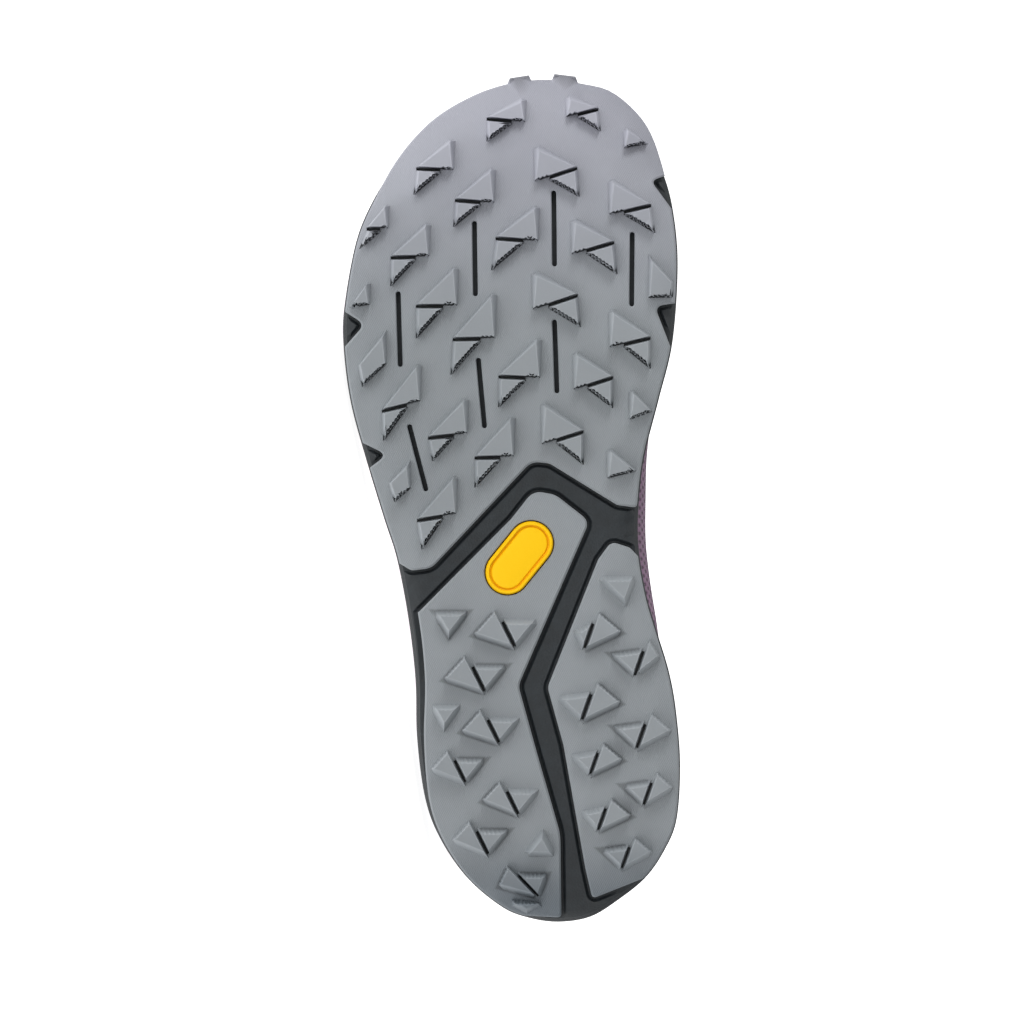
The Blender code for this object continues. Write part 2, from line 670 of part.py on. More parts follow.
def drafted(loop, drafts):
    """Polygon with each side moved in by its own draft; side i runs from point i to the next."""
    size = len(loop)
    lines = []
    for i in range(size):
        a, b = loop[i], loop[(i + 1) % size]
        run = (b - a) / np.linalg.norm(b - a)
        lines.append((a + np.array([-run[1], run[0]]) * drafts[i], run))
    corners = []
    for i in range(size):
        (p, r), (q, s) = lines[i - 1], lines[i]
        t = ((q[0] - p[0]) * s[1] - (q[1] - p[1]) * s[0]) / (r[0] * s[1] - r[1] * s[0])
        corners.append(p + r * t)
    return np.array(corners)


STEEP = 0.0002
TIGHT = 0.0004
EASY = 0.0009


def lug(points, drafts, crest=None):
    """Foot and top loop of a lug, from its corners at the foot and how far each side leans in.
    crest moves the top of its peak, the second corner, from the foot of it."""
    foot = np.asarray(points, float)
    if anticlockwise(foot) is foot:
        top = drafted(foot, drafts)
    else:
        top = drafted(foot[::-1], [*drafts[:-1][::-1], drafts[-1]])[::-1]
    if crest is not None:
        top[1] = foot[1] + crest
    return (foot, top) if anticlockwise(foot) is foot else (foot[::-1], top[::-1])


def fore_lugs(rows, side):
    """Big and small triangles of the forefoot; side is -1 where the base runs laterally."""
    for row in rows:
        corner = plan([(row.along, row.across)])[0]
        unit = LUG_WIDTH
        peak = corner + (row.tall * unit, -side * PEAK_LEAN)
        far = corner + (row.lift * unit, side * row.wide * unit)
        yield lug([corner, peak, far], [TIGHT, TIGHT, STEEP], (-PEAK_BACK, side * PEAK_IN))
        if row.drop:
            start = far - (SIPE_WIDTH, 0)
            inner = start + (corner - far) * SMALL_LUG
            low = start + (-row.drop * unit, side * row.splay * unit)
            yield lug([inner, start, low], [STEEP, EASY, STEEP])


def edge_lugs():
    for row in EDGE_LUGS:
        corner = plan([(row.along, row.across)])[0]
        unit = LUG_WIDTH
        peak = corner + (row.tall * unit, 0)
        front = corner + (row.up_front * unit, row.out_front * unit)
        rear = corner + (row.up_rear * unit, row.out_rear * unit)
        crest = (-0.8 * PEAK_BACK, math.copysign(0.6 * PEAK_IN, row.out_front))
        yield lug([corner, peak, front, rear], [TIGHT, TIGHT, EASY, STEEP], crest)


def turned(vector, angle):
    """(across, along) shares of LUG_WIDTH, turned, as an (x, y) offset in metres."""
    across, along = vector
    c, s = math.cos(angle), math.sin(angle)
    return np.array([along * c + across * s, across * c - along * s]) * LUG_WIDTH


def heel_lugs(rows, side, turn):
    """Pairs of the heel; side is -1 on the lateral pad, where the big one's outer corner is
    lateral."""
    for row in rows:
        peak = plan([(row.along, row.across)])[0]
        corners = {}
        for name, (out, up) in HEEL_PAIR._asdict().items():
            reach = row.size * (row.outer if name == "outer" else 1)
            corners[name] = peak + turned((side * (out + row.lean * up) * reach, up * reach), turn)
        yield lug([peak, corners["outer"], corners["low"]], [TIGHT, EASY, STEEP])
        small = [corners["sipe_front"], corners["far_front"], corners["sipe_rear"]]
        yield lug(small, [EASY, EASY, STEEP])


def single_lugs(rows):
    for row in rows:
        middle = plan([(row.along, row.across)])[0]
        half = 0.5 * row.wide * LUG_WIDTH
        point = middle + (-row.drop * LUG_WIDTH, row.shift * LUG_WIDTH)
        yield lug([middle - (0, half), middle + (0, half), point], [EASY, EASY, EASY])


def kept_inside(lugs, outline, margin=0.0007):
    """Lugs whose corners are drawn in, towards their middle, until they lie on their pad."""
    border = inset(anticlockwise(outline), margin)
    for foot, top in lugs:
        middle = top.mean(axis=0)
        moved = []
        for point in np.vstack([foot, top]):
            share = 1.0
            while share > 0.3 and not inside((middle + (point - middle) * share)[None], border)[0]:
                share -= 0.03
            moved.append(middle + (point - middle) * share)
        yield np.array(moved[: len(foot)]), np.array(moved[len(foot) :])


def slot_loop(row):
    """Long slot with round ends."""
    ends = plan([(row.front, row.front_across), (row.rear, row.rear_across)])
    run = ends[1] - ends[0]
    heading = math.atan2(run[1], run[0])
    loop = []
    for end, start in ((ends[1], heading - math.pi / 2), (ends[0], heading + math.pi / 2)):
        for turn in np.linspace(0, math.pi, 4):
            angle = start + turn
            loop.append(end + 0.5 * SLOT_WIDTH * np.array([math.cos(angle), math.sin(angle)]))
    return np.array(loop)


def pill(length, width, points_per_end=7):
    """Pill outline round the badge's place, long axis tilted from the shoe's own."""
    middle = plan([BADGE_PLACE])[0]
    radius = 0.5 * width
    heading = BADGE_TILT
    axis = np.array([math.cos(heading), math.sin(heading)])
    loop = []
    for sign in (1, -1):
        centre = middle + axis * sign * (0.5 * length - radius)
        base = heading if sign > 0 else heading + math.pi
        for turn in np.linspace(-math.pi / 2, math.pi / 2, points_per_end):
            loop.append(centre + radius * np.array([math.cos(base + turn), math.sin(base + turn)]))
    return np.array(loop)


def split_long(loop):
    """Loop with points added on its long sides, so that they can bend with the sole."""
    result = []
    for start, end in zip(loop, np.roll(loop, -1, 0)):
        pieces = max(1, math.ceil(np.linalg.norm(end - start) / POINT_SPACING))
        result += [start + (end - start) * i / pieces for i in range(pieces)]
    return np.array(result)


def pad(name, outline, holes, lugs):
    outline = split_long(anticlockwise(outline))
    holes = [split_long(hole) for hole in holes]
    relief, levels = [], []
    for foot, top in kept_inside(lugs, outline):
        relief += [foot, top]
        levels += [0.0, -LUG_HEIGHT]
    back = lambda points: lifted(points, PAD_BACK)
    return plate(name, outline, holes, relief, levels, "rubber", PAD_FACE, back)


def build_outsole():
    fore = [*fore_lugs(FORE_LATERAL, -1), *fore_lugs(FORE_MEDIAL, 1), *edge_lugs()]
    pad("outsole_forefoot", forefoot_outline(), [slot_loop(row) for row in SLOTS], fore)
    lateral = heel_outline(HEEL_LATERAL_INNER, -1, HEEL_LATERAL_EDGE, waist_margin)
    lugs = [*heel_lugs(HEEL_LATERAL_LUGS, -1, 0), *single_lugs(HEEL_LATERAL_SINGLES)]
    hole = pill(BADGE_LENGTH + 2 * GAP, BADGE_WIDTH + 2 * GAP)
    pad("outsole_heel_lateral", lateral, [hole], lugs)
    medial = heel_outline(HEEL_MEDIAL_INNER, 1, HEEL_MEDIAL_EDGE, plain_margin)
    lugs = [*heel_lugs(HEEL_MEDIAL_LUGS, 1, HEEL_MEDIAL_TURN), *single_lugs(HEEL_MEDIAL_SINGLES)]
    pad("outsole_heel_medial", medial, [], lugs)


def build_badge():
    """Yellow inlay in its hole in the lateral heel pad, with a raised rim."""
    outline = pill(BADGE_LENGTH, BADGE_WIDTH)
    crest = pill(BADGE_LENGTH - 2 * BADGE_RIM, BADGE_WIDTH - 2 * BADGE_RIM)
    floor = pill(BADGE_LENGTH - 4 * BADGE_RIM, BADGE_WIDTH - 4 * BADGE_RIM)
    back = lambda points: lifted(points, PAD_BACK)
    levels = [-0.4 * BADGE_RIM, 0.0]
    plate("badge", outline, [], [crest, floor], levels, "badge_yellow", PAD_FACE, back)


def set_back(x):
    """How far the foam stays inside the sole's edge, round the toe."""
    return TOE_SETBACK * smooth(x, 0.84 * LENGTH, 0.92 * LENGTH)


def foam_edge():
    """The foam's widest outline, a point on each rib of the upper."""
    edge = edge_at(np.arange(AROUND) / AROUND)
    return inset(edge, set_back(edge[:, 0]))


def build_midsole():
    """Foam with ribbed side, rim and footbed."""
    edge = foam_edge()
    first = SIDE_STEPS[0].inset * SIDE_LEAN
    bottom_z = lifted(inset(edge, first), FOAM_BOTTOM)[:, 2]
    top_z = footbed(edge[:, 0]) + RIM_HEIGHT
    rings = []
    for step in SIDE_STEPS:
        flat = inset(edge, step.inset * SIDE_LEAN)
        rings.append(np.column_stack([flat, bottom_z + (top_z - bottom_z) * step.height]))
    inner = inset(edge, SIDE_LEAN + RIM_WIDTH)
    rings.append(np.column_stack([inset(edge, SIDE_LEAN + 0.7 * RIM_WIDTH), top_z]))
    rings.append(np.column_stack([inner, footbed(inner[:, 0])]))
    verts = np.vstack(rings)
    faces = []
    for i in range(len(rings) - 1):
        for j in range(AROUND):
            k = (j + 1) % AROUND
            faces.append((i * AROUND + j, i * AROUND + k, (i + 1) * AROUND + k, (i + 1) * AROUND + j))
    bottom, _, bottom_faces = filled(inset(edge, first), [], [], [])
    top, _, top_faces = filled(inner, [], [], [], 3 * TOE_POINT_SPACING / 4)
    verts = np.vstack([verts, lifted(bottom, FOAM_BOTTOM), np.column_stack([top, footbed(top[:, 0])])])
    start = len(rings) * AROUND
    faces += [tuple(f[::-1] + start) for f in bottom_faces]
    faces += [tuple(f + start + len(bottom)) for f in top_faces]
    new_object("midsole", verts, faces, "foam")


FEATHER = SIDE_LEAN + RIM_WIDTH + GAP


def build_insole():
    outline = inset(foam_edge(), FEATHER + UPPER_WALL + INSOLE_PLAY)
    flat, _, faces = filled(outline, [], [], [], 0.8 * TOE_POINT_SPACING)
    count = len(flat)
    low = np.column_stack([flat, footbed(flat[:, 0]) + GAP])
    high = low + (0, 0, INSOLE)
    rim = [nearest(flat, point) for point in outline]
    sides = []
    for i, here in enumerate(rim):
        there = rim[(i + 1) % len(rim)]
        sides.append((here, there, there + count, here + count))
    faces = [tuple(f[::-1]) for f in faces] + [tuple(f + count) for f in faces] + sides
    new_object("insole", np.vstack([low, high]), faces, "insole_foam")


def section_rows():
    """The table of sections as places around the sole and columns of lengths in metres."""
    rows = []
    for side in (-1, 1):
        chosen = SECTIONS if side < 0 else SECTIONS[-2:0:-1]
        for row in chosen:
            around = 0.5 * row.around if side < 0 else 1 - 0.5 * row.around
            across = row.top_lateral if side < 0 else row.top_medial
            low = row.low_lateral if side < 0 else row.low_medial
            x, y = plan([(row.top_along, across)])[0]
            height = row.size * row.height
            rows.append((around, x, y, height, low * BALL_WIDTH, row.high * BALL_WIDTH, row.round))
    rows = np.array(rows)
    return rows[:, 0], rows[:, 1:]


SECTION_PLACES, SECTION_VALUES = section_rows()


def section_at(around):
    """Smooth values of the table's columns at places around the sole."""
    around = np.asarray(around, float) % 1
    places = np.concatenate([SECTION_PLACES - 1, SECTION_PLACES, SECTION_PLACES + 1])
    values = np.vstack([SECTION_VALUES] * 3)
    slopes = np.gradient(values, places, axis=0)
    i = np.searchsorted(places, around, side="right") - 1
    span = (places[i + 1] - places[i])[:, None]
    t = ((around - places[i]))[:, None] / span
    a, b = values[i], values[i + 1]
    return (
        (2 * t**3 - 3 * t**2 + 1) * a
        + (t**3 - 2 * t**2 + t) * span * slopes[i]
        + (3 * t**2 - 2 * t**3) * b
        + (t**3 - t**2) * span * slopes[i + 1]
    )


RIM_UP = 0.055
RIM_CLIMB = math.sin(RIM_UP * math.pi / 2)


def upper_point(around, up):
    """Points of the upper's outer face: up is 0 at its foot and 1 at the collar's edge. It
    climbs straight to RIM_UP, past the foam's rim, and bulges above."""
    around, up = np.broadcast_arrays(np.asarray(around, float), np.asarray(up, float))
    shape = around.shape
    around, up = around.ravel(), up.ravel()
    x, y, z, low, high, turn = section_at(around).T
    near = edge_at(around + 0.0005) - edge_at(around - 0.0005)
    near /= np.linalg.norm(near, axis=1)[:, None]
    out = np.column_stack([near[:, 1], -near[:, 0]])
    foot = edge_at(around)
    foot = foot - out * (FEATHER + set_back(foot[:, :1]))
    foot_z = footbed(foot[:, 0]) + GAP
    angle = up * math.pi / 2
    climb = np.sin(angle)
    over = 1 - np.maximum(np.cos(angle), 0) ** turn
    free = np.clip((climb - RIM_CLIMB) / (1 - RIM_CLIMB), 0, 1)
    bulge = 1.5 * np.sin(math.pi * free) * ((1 - free) * low + free * high)
    flat = foot + (np.column_stack([x, y]) - foot) * over[:, None] + out * bulge[:, None]
    points = np.column_stack([flat, foot_z + (z - foot_z) * climb])
    return points.reshape(shape + (3,))


def upper_face(around, up, offset):
    """The upper's face, moved outwards by an offset."""
    around, up = np.broadcast_arrays(np.asarray(around, float), np.asarray(up, float))
    step = 0.004
    low, high = np.clip(up - step, 0, 0.985), np.clip(up + step, 0.015, 1)
    along = upper_point(around + step, up) - upper_point(around - step, up)
    rise_way = upper_point(around, high) - upper_point(around, low)
    normal = np.cross(along, rise_way)
    normal /= np.linalg.norm(normal, axis=-1)[..., None]
    return upper_point(around, up) + normal * np.asarray(offset)[..., None]


RIB_UPS = np.concatenate([[0], np.linspace(RIM_UP, 1, UP)])


def on_rib(index, ups, offset):
    """Points on one rib of the upper's mesh, moved outwards by an offset."""
    nodes = upper_face(index / AROUND, RIB_UPS, np.full(UP + 1, offset))
    return np.column_stack([np.interp(ups, RIB_UPS, nodes[:, i]) for i in range(3)])


def build_upper():
    """One hollow wall, open at collar, throat and underneath."""
    sections = []
    for index in range(AROUND):
        outer = on_rib(index, RIB_UPS, 0)
        inner = on_rib(index, RIB_UPS, -UPPER_WALL)
        inner[0, 2] = outer[0, 2]
        sections.append(np.vstack([outer, inner[::-1]]))
    loft("upper", sections, True, "mesh")


def band(name, indices, low, high, paint):
    """An overlay on the upper between two lines around it, with the ribs' own points between."""
    lows = [low(i / AROUND) for i in indices]
    highs = [high(i / AROUND) for i in indices]
    between = RIB_UPS[(RIB_UPS > min(lows)) & (RIB_UPS < max(highs))]
    sections = []
    for index, start, end in zip(indices, lows, highs):
        ups = np.concatenate([[start], np.clip(between, start, end), [end]])
        outer = on_rib(index, ups, OVERLAY_GAP + OVERLAY)
        inner = on_rib(index, ups, OVERLAY_GAP)
        sections.append(np.vstack([outer, inner[::-1]]))
    loft(name, sections, False, paint)


CROWN = 0.10  # height of the instep over the throat's edges, as a share of the throat's width
THROAT_RIB = round(0.203 * AROUND)  # where the throat ends and the collar starts
TOE_CAP_REACH = round(0.172 * AROUND)
COUNTER_REACH = round(0.141 * AROUND)
OVERLAY_TOP = 0.985


def build_overlays():
    toe_rib = AROUND // 2

    def toe_top(around):
        share = abs(around - 0.5) * AROUND / TOE_CAP_REACH
        return 0.10 + 0.32 * (1 - share**3)

    def counter_top(around):
        share = abs(around) * AROUND / COUNTER_REACH
        return 0.10 + 0.42 * (1 - share**2)

    def stay_foot(around):
        return OVERLAY_TOP - 0.17 - 0.03 * math.cos(2 * math.pi * around)

    def rim_top(around):
        heights = on_rib(around * AROUND, RIB_UPS, 0)[:, 2]
        return np.interp(RIM_HEIGHT + 3 * GAP, heights - heights[0], RIB_UPS)

    toe = range(toe_rib - TOE_CAP_REACH, toe_rib + TOE_CAP_REACH + 1)
    band("toe_cap", toe, rim_top, toe_top, "overlay")
    heel = range(-COUNTER_REACH, COUNTER_REACH + 1)
    band("heel_counter", heel, rim_top, counter_top, "overlay")
    throat = range(THROAT_RIB, AROUND - THROAT_RIB + 1)
    band("eyestay", throat, stay_foot, lambda a: OVERLAY_TOP, "overlay")


def tongue_line(index, lift):
    """Across the throat under its edges, from the lateral side to the medial one."""
    ups = np.array([0.84, RIB_UPS[-2], 1.0])
    depth = -(UPPER_WALL + GAP + 0.0003)
    lateral = on_rib(index, ups, depth)
    medial = on_rib(AROUND - index, ups[::-1], depth)
    start, end = lateral[-1], medial[0]
    middle = 0.5 * (start + end) + (0, 0, lift)
    t = np.array([0.25, 0.5, 0.75])[:, None]
    crown = (1 - t) ** 2 * start + 2 * t * (1 - t) * (2 * middle - 0.5 * (start + end)) + t**2 * end
    return np.vstack([lateral, crown, medial])


def crown_rise(index):
    """Height of the foot's instep over the throat's edges."""
    left, right = on_rib(index, [1.0], 0)[0], on_rib(AROUND - index, [1.0], 0)[0]
    return CROWN * abs(right[1] - left[1])


def build_tongue():
    """Padded tongue: under the throat's edges, then free above the collar."""
    lines = []
    for index in range(round(0.484 * AROUND), THROAT_RIB - 1, -1):
        lines.append(tongue_line(index, crown_rise(index)))
    last = lines[-1]
    way = last[4] - lines[-3][4]
    way /= np.linalg.norm(way)
    centre = last[4]
    for step, squeeze in ((0.4, 0.80), (1.0, 0.68)):
        free = centre + (last - centre) * (squeeze, squeeze, 0.8 * squeeze)
        lines.append(free + (way + (0, 0, 0.25)) * TONGUE_RISE * step)
    sections = []
    for number, line in enumerate(lines):
        slope = lines[min(number + 1, len(lines) - 1)] - lines[max(number - 1, 0)]
        run = np.gradient(line, axis=0)
        normal = np.cross(slope, run)
        normal /= np.linalg.norm(normal, axis=1)[:, None]
        if normal[4, 2] > 0:
            normal = -normal
        taper = TONGUE * np.sin(np.linspace(0.18, math.pi - 0.18, len(line)))[:, None] ** 0.5
        sections.append(np.vstack([line, (line + normal * taper)[::-1]]))
    loft("tongue", sections, False, "mesh")


def eyelet_ribs():
    """Ribs of the lateral side that carry an eyelet, from the toe end to the collar."""
    return [round(i) for i in np.linspace(0.438 * AROUND, THROAT_RIB + 1, EYELET_PAIRS)]


def ribbon(start, end, arch, up, rows=7):
    """Sections of a flat lace that rises over the tongue between two points."""
    run = end - start
    length = np.linalg.norm(run)
    side = np.cross(run / length, up)
    side /= np.linalg.norm(side)
    sections = []
    for t in np.linspace(0, 1, rows):
        centre = start + run * t + up * arch * 4 * t * (1 - t)
        half = 0.5 * LACE_WIDTH * side
        thick = LACE_THICKNESS * up
        above = centre + thick
        sections.append(np.array([centre - half, centre + half, above + half, above - half]))
    return sections


def build_laces():
    """Crossings of a flat lace, joined, each end over an eyelet."""
    clear = OVERLAY_GAP + OVERLAY + 3 * GAP
    lateral = [on_rib(i, [0.90], clear)[0] for i in eyelet_ribs()]
    medial = [on_rib(AROUND - i, [0.90], clear)[0] for i in eyelet_ribs()]
    step = 0.3 * LACE_THICKNESS
    runs = [(lateral[0], medial[0], step)]
    for i in range(EYELET_PAIRS - 1):
        runs += [(lateral[i], medial[i + 1], 0), (medial[i], lateral[i + 1], 2 * step)]
    pieces = []
    for number, (start, end, layer) in enumerate(runs):
        way = np.array([0.34, 0.0, 0.94])
        arch = CROWN * abs(end[1] - start[1]) + GAP
        sections = ribbon(start + way * layer, end + way * layer, arch, way)
        pieces.append(loft(f"lace_{number}", sections, False, "lace"))
    first = pieces[0]
    for other in pieces[1:]:
        joined = first.modifiers.new(other.name, "BOOLEAN")
        joined.operation = "UNION"
        joined.solver = "MANIFOLD"
        joined.object = other
        apply_modifiers(first)
        bpy.data.objects.remove(other)
    first.name = "laces"


def apply_modifiers(obj):
    bpy.context.view_layer.update()
    shown = obj.evaluated_get(bpy.context.evaluated_depsgraph_get())
    mesh = bpy.data.meshes.new_from_object(shown)
    mesh["density"] = obj.data["density"]
    obj.modifiers.clear()
    obj.data = mesh


def build_pull_loop():
    """Webbing that climbs the back of the heel, turns over the collar and ends inside."""
    outside = on_rib(0, [0.70, 0.80, 0.90], GAP + 0.5 * LOOP_THICKNESS)
    bow = LOOP_WIDTH**2 / (2 * HEEL_WIDTH)
    inside_depth = -(UPPER_WALL + GAP + bow + 0.5 * LOOP_THICKNESS)
    within = on_rib(0, [0.90, 0.80], inside_depth)
    top = on_rib(0, [1.0], 0)[0]
    middle = top + (0.5 * (within[0, 0] - outside[-1, 0]) - (top[0] - outside[-1, 0]), 0, 0)
    half = 0.5 * (within[0, 0] - outside[-1, 0])
    angles = np.linspace(math.pi, 0, 9)
    turn = [middle + (half * math.cos(a), 0, LOOP_RISE * math.sin(a)) for a in angles]
    path = np.vstack([outside, turn, within])
    sections = []
    for i in range(len(path)):
        tangent = path[min(i + 1, len(path) - 1)] - path[max(i - 1, 0)]
        tangent /= np.linalg.norm(tangent)
        side = np.array([0.0, 1.0, 0.0]) * 0.5 * LOOP_WIDTH
        thick = np.cross(tangent, (0, 1, 0)) * 0.5 * LOOP_THICKNESS
        centre = path[i]
        low, high = centre - thick, centre + thick
        sections.append(np.array([low - side, low + side, high + side, high - side]))
    loft("pull_loop", sections, False, "webbing")


def make_materials():
    made = {}
    for name, paint in PAINTS.items():
        material = bpy.data.materials.new(name)
        material.use_nodes = True
        shader = material.node_tree.nodes["Principled BSDF"]
        shader.inputs["Base Color"].default_value = paint.color
        shader.inputs["Roughness"].default_value = paint.roughness
        shader.inputs["Metallic"].default_value = 0.0
        made[name] = material
    return made


def balance_point(objects):
    """Centre of mass of the pieces."""
    mass, moment = 0.0, np.zeros(3)
    for obj in objects:
        mesh = obj.data
        mesh.calc_loop_triangles()
        verts = np.array([v.co[:] for v in mesh.vertices])
        corners = verts[np.array([t.vertices[:] for t in mesh.loop_triangles])]
        volumes = np.linalg.det(corners) / 6 * mesh["density"]
        mass += volumes.sum()
        moment += (corners.sum(axis=1) / 4 * volumes[:, None]).sum(axis=0)
    return moment / mass


def resting_floor(objects, centre):
    """Outward normal of the floor on which the shoe lies on its lateral side: that of the face
    of its hull that is nearest to the balance point."""
    bm = bmesh.new()
    for obj in objects:
        for vertex in obj.data.vertices:
            bm.verts.new(vertex.co)
    bmesh.ops.convex_hull(bm, input=bm.verts)
    lateral = [face for face in bm.faces if face.normal.y < -0.7]
    floor = min(lateral, key=lambda face: face.normal @ (face.verts[0].co - Vector(centre)))
    normal = np.array(floor.normal)
    bm.free()
    return normal


def lay_down(objects):
    """Turn the shoe's axes so that it lies on the floor, toe towards -X, sole towards -Y."""
    up = -resting_floor(objects, balance_point(objects))
    right = -np.array([1.0, 0, 0]) + up * up[0]
    right /= np.linalg.norm(right)
    turn = np.array([right, np.cross(up, right), up])
    verts = np.vstack([[v.co[:] for v in obj.data.vertices] for obj in objects]) @ turn.T
    low, high = verts.min(axis=0), verts.max(axis=0)
    shift = -np.array([(low[0] + high[0]) / 2, (low[1] + high[1]) / 2, low[2]])
    axes = bpy.data.objects.new("shoe_axes", None)
    SHOE.objects.link(axes)
    axes.matrix_world = Matrix.Translation(shift) @ Matrix(turn.tolist()).to_4x4()
    for obj in objects:
        obj.parent = axes


for old in list(bpy.data.objects):
    bpy.data.objects.remove(old)
SHOE = bpy.data.collections.new("trail_running_shoe")
bpy.context.scene.collection.children.link(SHOE)
MATERIALS = make_materials()
build_outsole()
build_badge()
build_midsole()
build_insole()
build_upper()
build_overlays()
build_tongue()
build_laces()
build_pull_loop()
lay_down([obj for obj in SHOE.objects if obj.type == "MESH"])
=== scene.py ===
"""The looks of a right trail running shoe that lies on its little-toe side, sole upright.

Everything is made in the shoe's own axes, in metres: X runs from the heel to the toe, Y from the
little-toe side to the big-toe side, and Z up from the plane of the lug tops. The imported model's two
mounts, which are flat lug tops, tell how those axes lie in the frame.

Places on the sole are shares: "along" of LENGTH from the heel, "across" of BALL_WIDTH from the
line through the middle of the ball. The heel is stretched from them to HEEL_WIDTH.
"""

import json
import math
from collections import namedtuple

import bpy
import numpy as np
from mathutils import Matrix, Vector, geometry


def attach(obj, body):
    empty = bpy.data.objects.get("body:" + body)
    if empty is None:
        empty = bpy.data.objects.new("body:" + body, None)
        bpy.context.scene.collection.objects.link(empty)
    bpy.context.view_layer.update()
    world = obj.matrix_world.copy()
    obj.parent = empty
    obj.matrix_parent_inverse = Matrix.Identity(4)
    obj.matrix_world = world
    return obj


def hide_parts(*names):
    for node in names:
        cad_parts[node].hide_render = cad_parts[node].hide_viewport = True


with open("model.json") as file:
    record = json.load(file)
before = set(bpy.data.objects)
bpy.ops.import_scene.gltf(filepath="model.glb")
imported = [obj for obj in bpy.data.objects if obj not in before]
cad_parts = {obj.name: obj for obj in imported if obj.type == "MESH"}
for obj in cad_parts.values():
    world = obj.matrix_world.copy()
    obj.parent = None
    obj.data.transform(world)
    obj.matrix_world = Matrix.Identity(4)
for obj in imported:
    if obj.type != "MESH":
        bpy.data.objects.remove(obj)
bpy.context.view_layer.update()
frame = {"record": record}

# Lengths and widths of the sole
LENGTH = 0.285
BALL_WIDTH = 0.1122
HEEL_WIDTH = 0.088
HEEL_WIDTH_DRAWN = 0.784  # share of BALL_WIDTH that the heel takes in the tables

# Heights of the last, from the plane of the lug tops
HEEL_HEIGHT = 0.101
ANKLE_HEIGHT = 0.081
INSTEP_HEIGHT = 0.104
TOE_HEIGHT = 0.068

# Foam under the foot, and the bottom profile
HEEL_FOAM = 0.025
BALL_FOAM = 0.020
TOE_FOAM = 0.013
TOE_SPRING = 0.015
SPRING_START = 0.66  # share of LENGTH
HEEL_BEVEL = 0.011
ARCH_LIFT = 0.0022
EDGE_ROLL = 0.0012
EDGE_ROLL_WIDTH = 0.006
TOE_ROLL = 0.0075
TOE_ROLL_WIDTH = 0.020

# Rubber
RUBBER = 0.0025
LUG_HEIGHT = 0.0042
LUG_WIDTH = 0.0134
SIPE_WIDTH = 0.0011
PEAK_BACK = 0.0030  # of the top of a fore lug's peak behind its foot
PEAK_IN = 0.0020  # and towards the lug's far corner
PEAK_LEAN = 0.0007  # of the foot of the peak, past the corner below it
SMALL_LUG = 0.66  # share of the big lug's base that the small one takes
SLOT_WIDTH = 0.0016
PAD_MARGIN = 0.0006
WAIST_MARGIN = 0.0036

# Walls, rims and clearances
GAP = 0.0003
SOLE_GAP = 0.00055
RIM_WIDTH = 0.0012
RIM_HEIGHT = 0.002
SIDE_LEAN = 0.004
TOE_SETBACK = 0.0011  # of the foam behind the rubber's edge, round the toe
UPPER_WALL = 0.0022
INSOLE = 0.004
INSOLE_PLAY = 0.0014
TONGUE = 0.004
TONGUE_RISE = 0.024
LACE_WIDTH = 0.006
LACE_THICKNESS = 0.0014
EYELET_PAIRS = 6
LOOP_WIDTH = 0.012
LOOP_THICKNESS = 0.0014
LOOP_RISE = 0.010
BADGE_LENGTH = 0.0274
BADGE_WIDTH = 0.0149
BADGE_TILT = math.radians(39)
BADGE_RIM = 0.0009

Edge = namedtuple("Edge", "along across")
SOLE_EDGE = (
    Edge(0.000, 0.138),
    Edge(0.005, 0.049),
    Edge(0.018, -0.031),
    Edge(0.053, -0.135),
    Edge(0.100, -0.216),
    Edge(0.147, -0.260),
    Edge(0.217, -0.284),
    Edge(0.287, -0.289),
    Edge(0.358, -0.310),
    Edge(0.428, -0.344),
    Edge(0.475, -0.382),
    Edge(0.545, -0.436),
    Edge(0.616, -0.484),
    Edge(0.686, -0.505),
    Edge(0.733, -0.499),
    Edge(0.803, -0.466),
    Edge(0.850, -0.418),
    Edge(0.897, -0.350),
    Edge(0.944, -0.246),
    Edge(0.974, -0.127),
    Edge(0.990, -0.013),
    Edge(0.995, 0.100),
    Edge(0.990, 0.213),
    Edge(0.979, 0.305),
    Edge(0.944, 0.397),
    Edge(0.897, 0.448),
    Edge(0.850, 0.478),
    Edge(0.780, 0.496),
    Edge(0.686, 0.481),
    Edge(0.616, 0.439),
    Edge(0.551, 0.397),
    Edge(0.498, 0.380),
    Edge(0.446, 0.378),
    Edge(0.390, 0.400),
    Edge(0.344, 0.433),
    Edge(0.297, 0.469),
    Edge(0.252, 0.490),
    Edge(0.188, 0.503),
    Edge(0.123, 0.493),
    Edge(0.086, 0.457),
    Edge(0.053, 0.400),
    Edge(0.026, 0.317),
    Edge(0.006, 0.234),
)

# Wedges cut into the edge of the forefoot pad, where the foam shows
Notch = namedtuple("Notch", "front deep deep_across rear")
LATERAL_NOTCHES = (
    Notch(0.719, 0.703, -0.451, 0.678),
    Notch(0.565, 0.551, -0.385, 0.536),
)
MEDIAL_NOTCHES = (
    Notch(0.880, 0.871, 0.426, 0.841),
    Notch(0.729, 0.722, 0.434, 0.678),
)

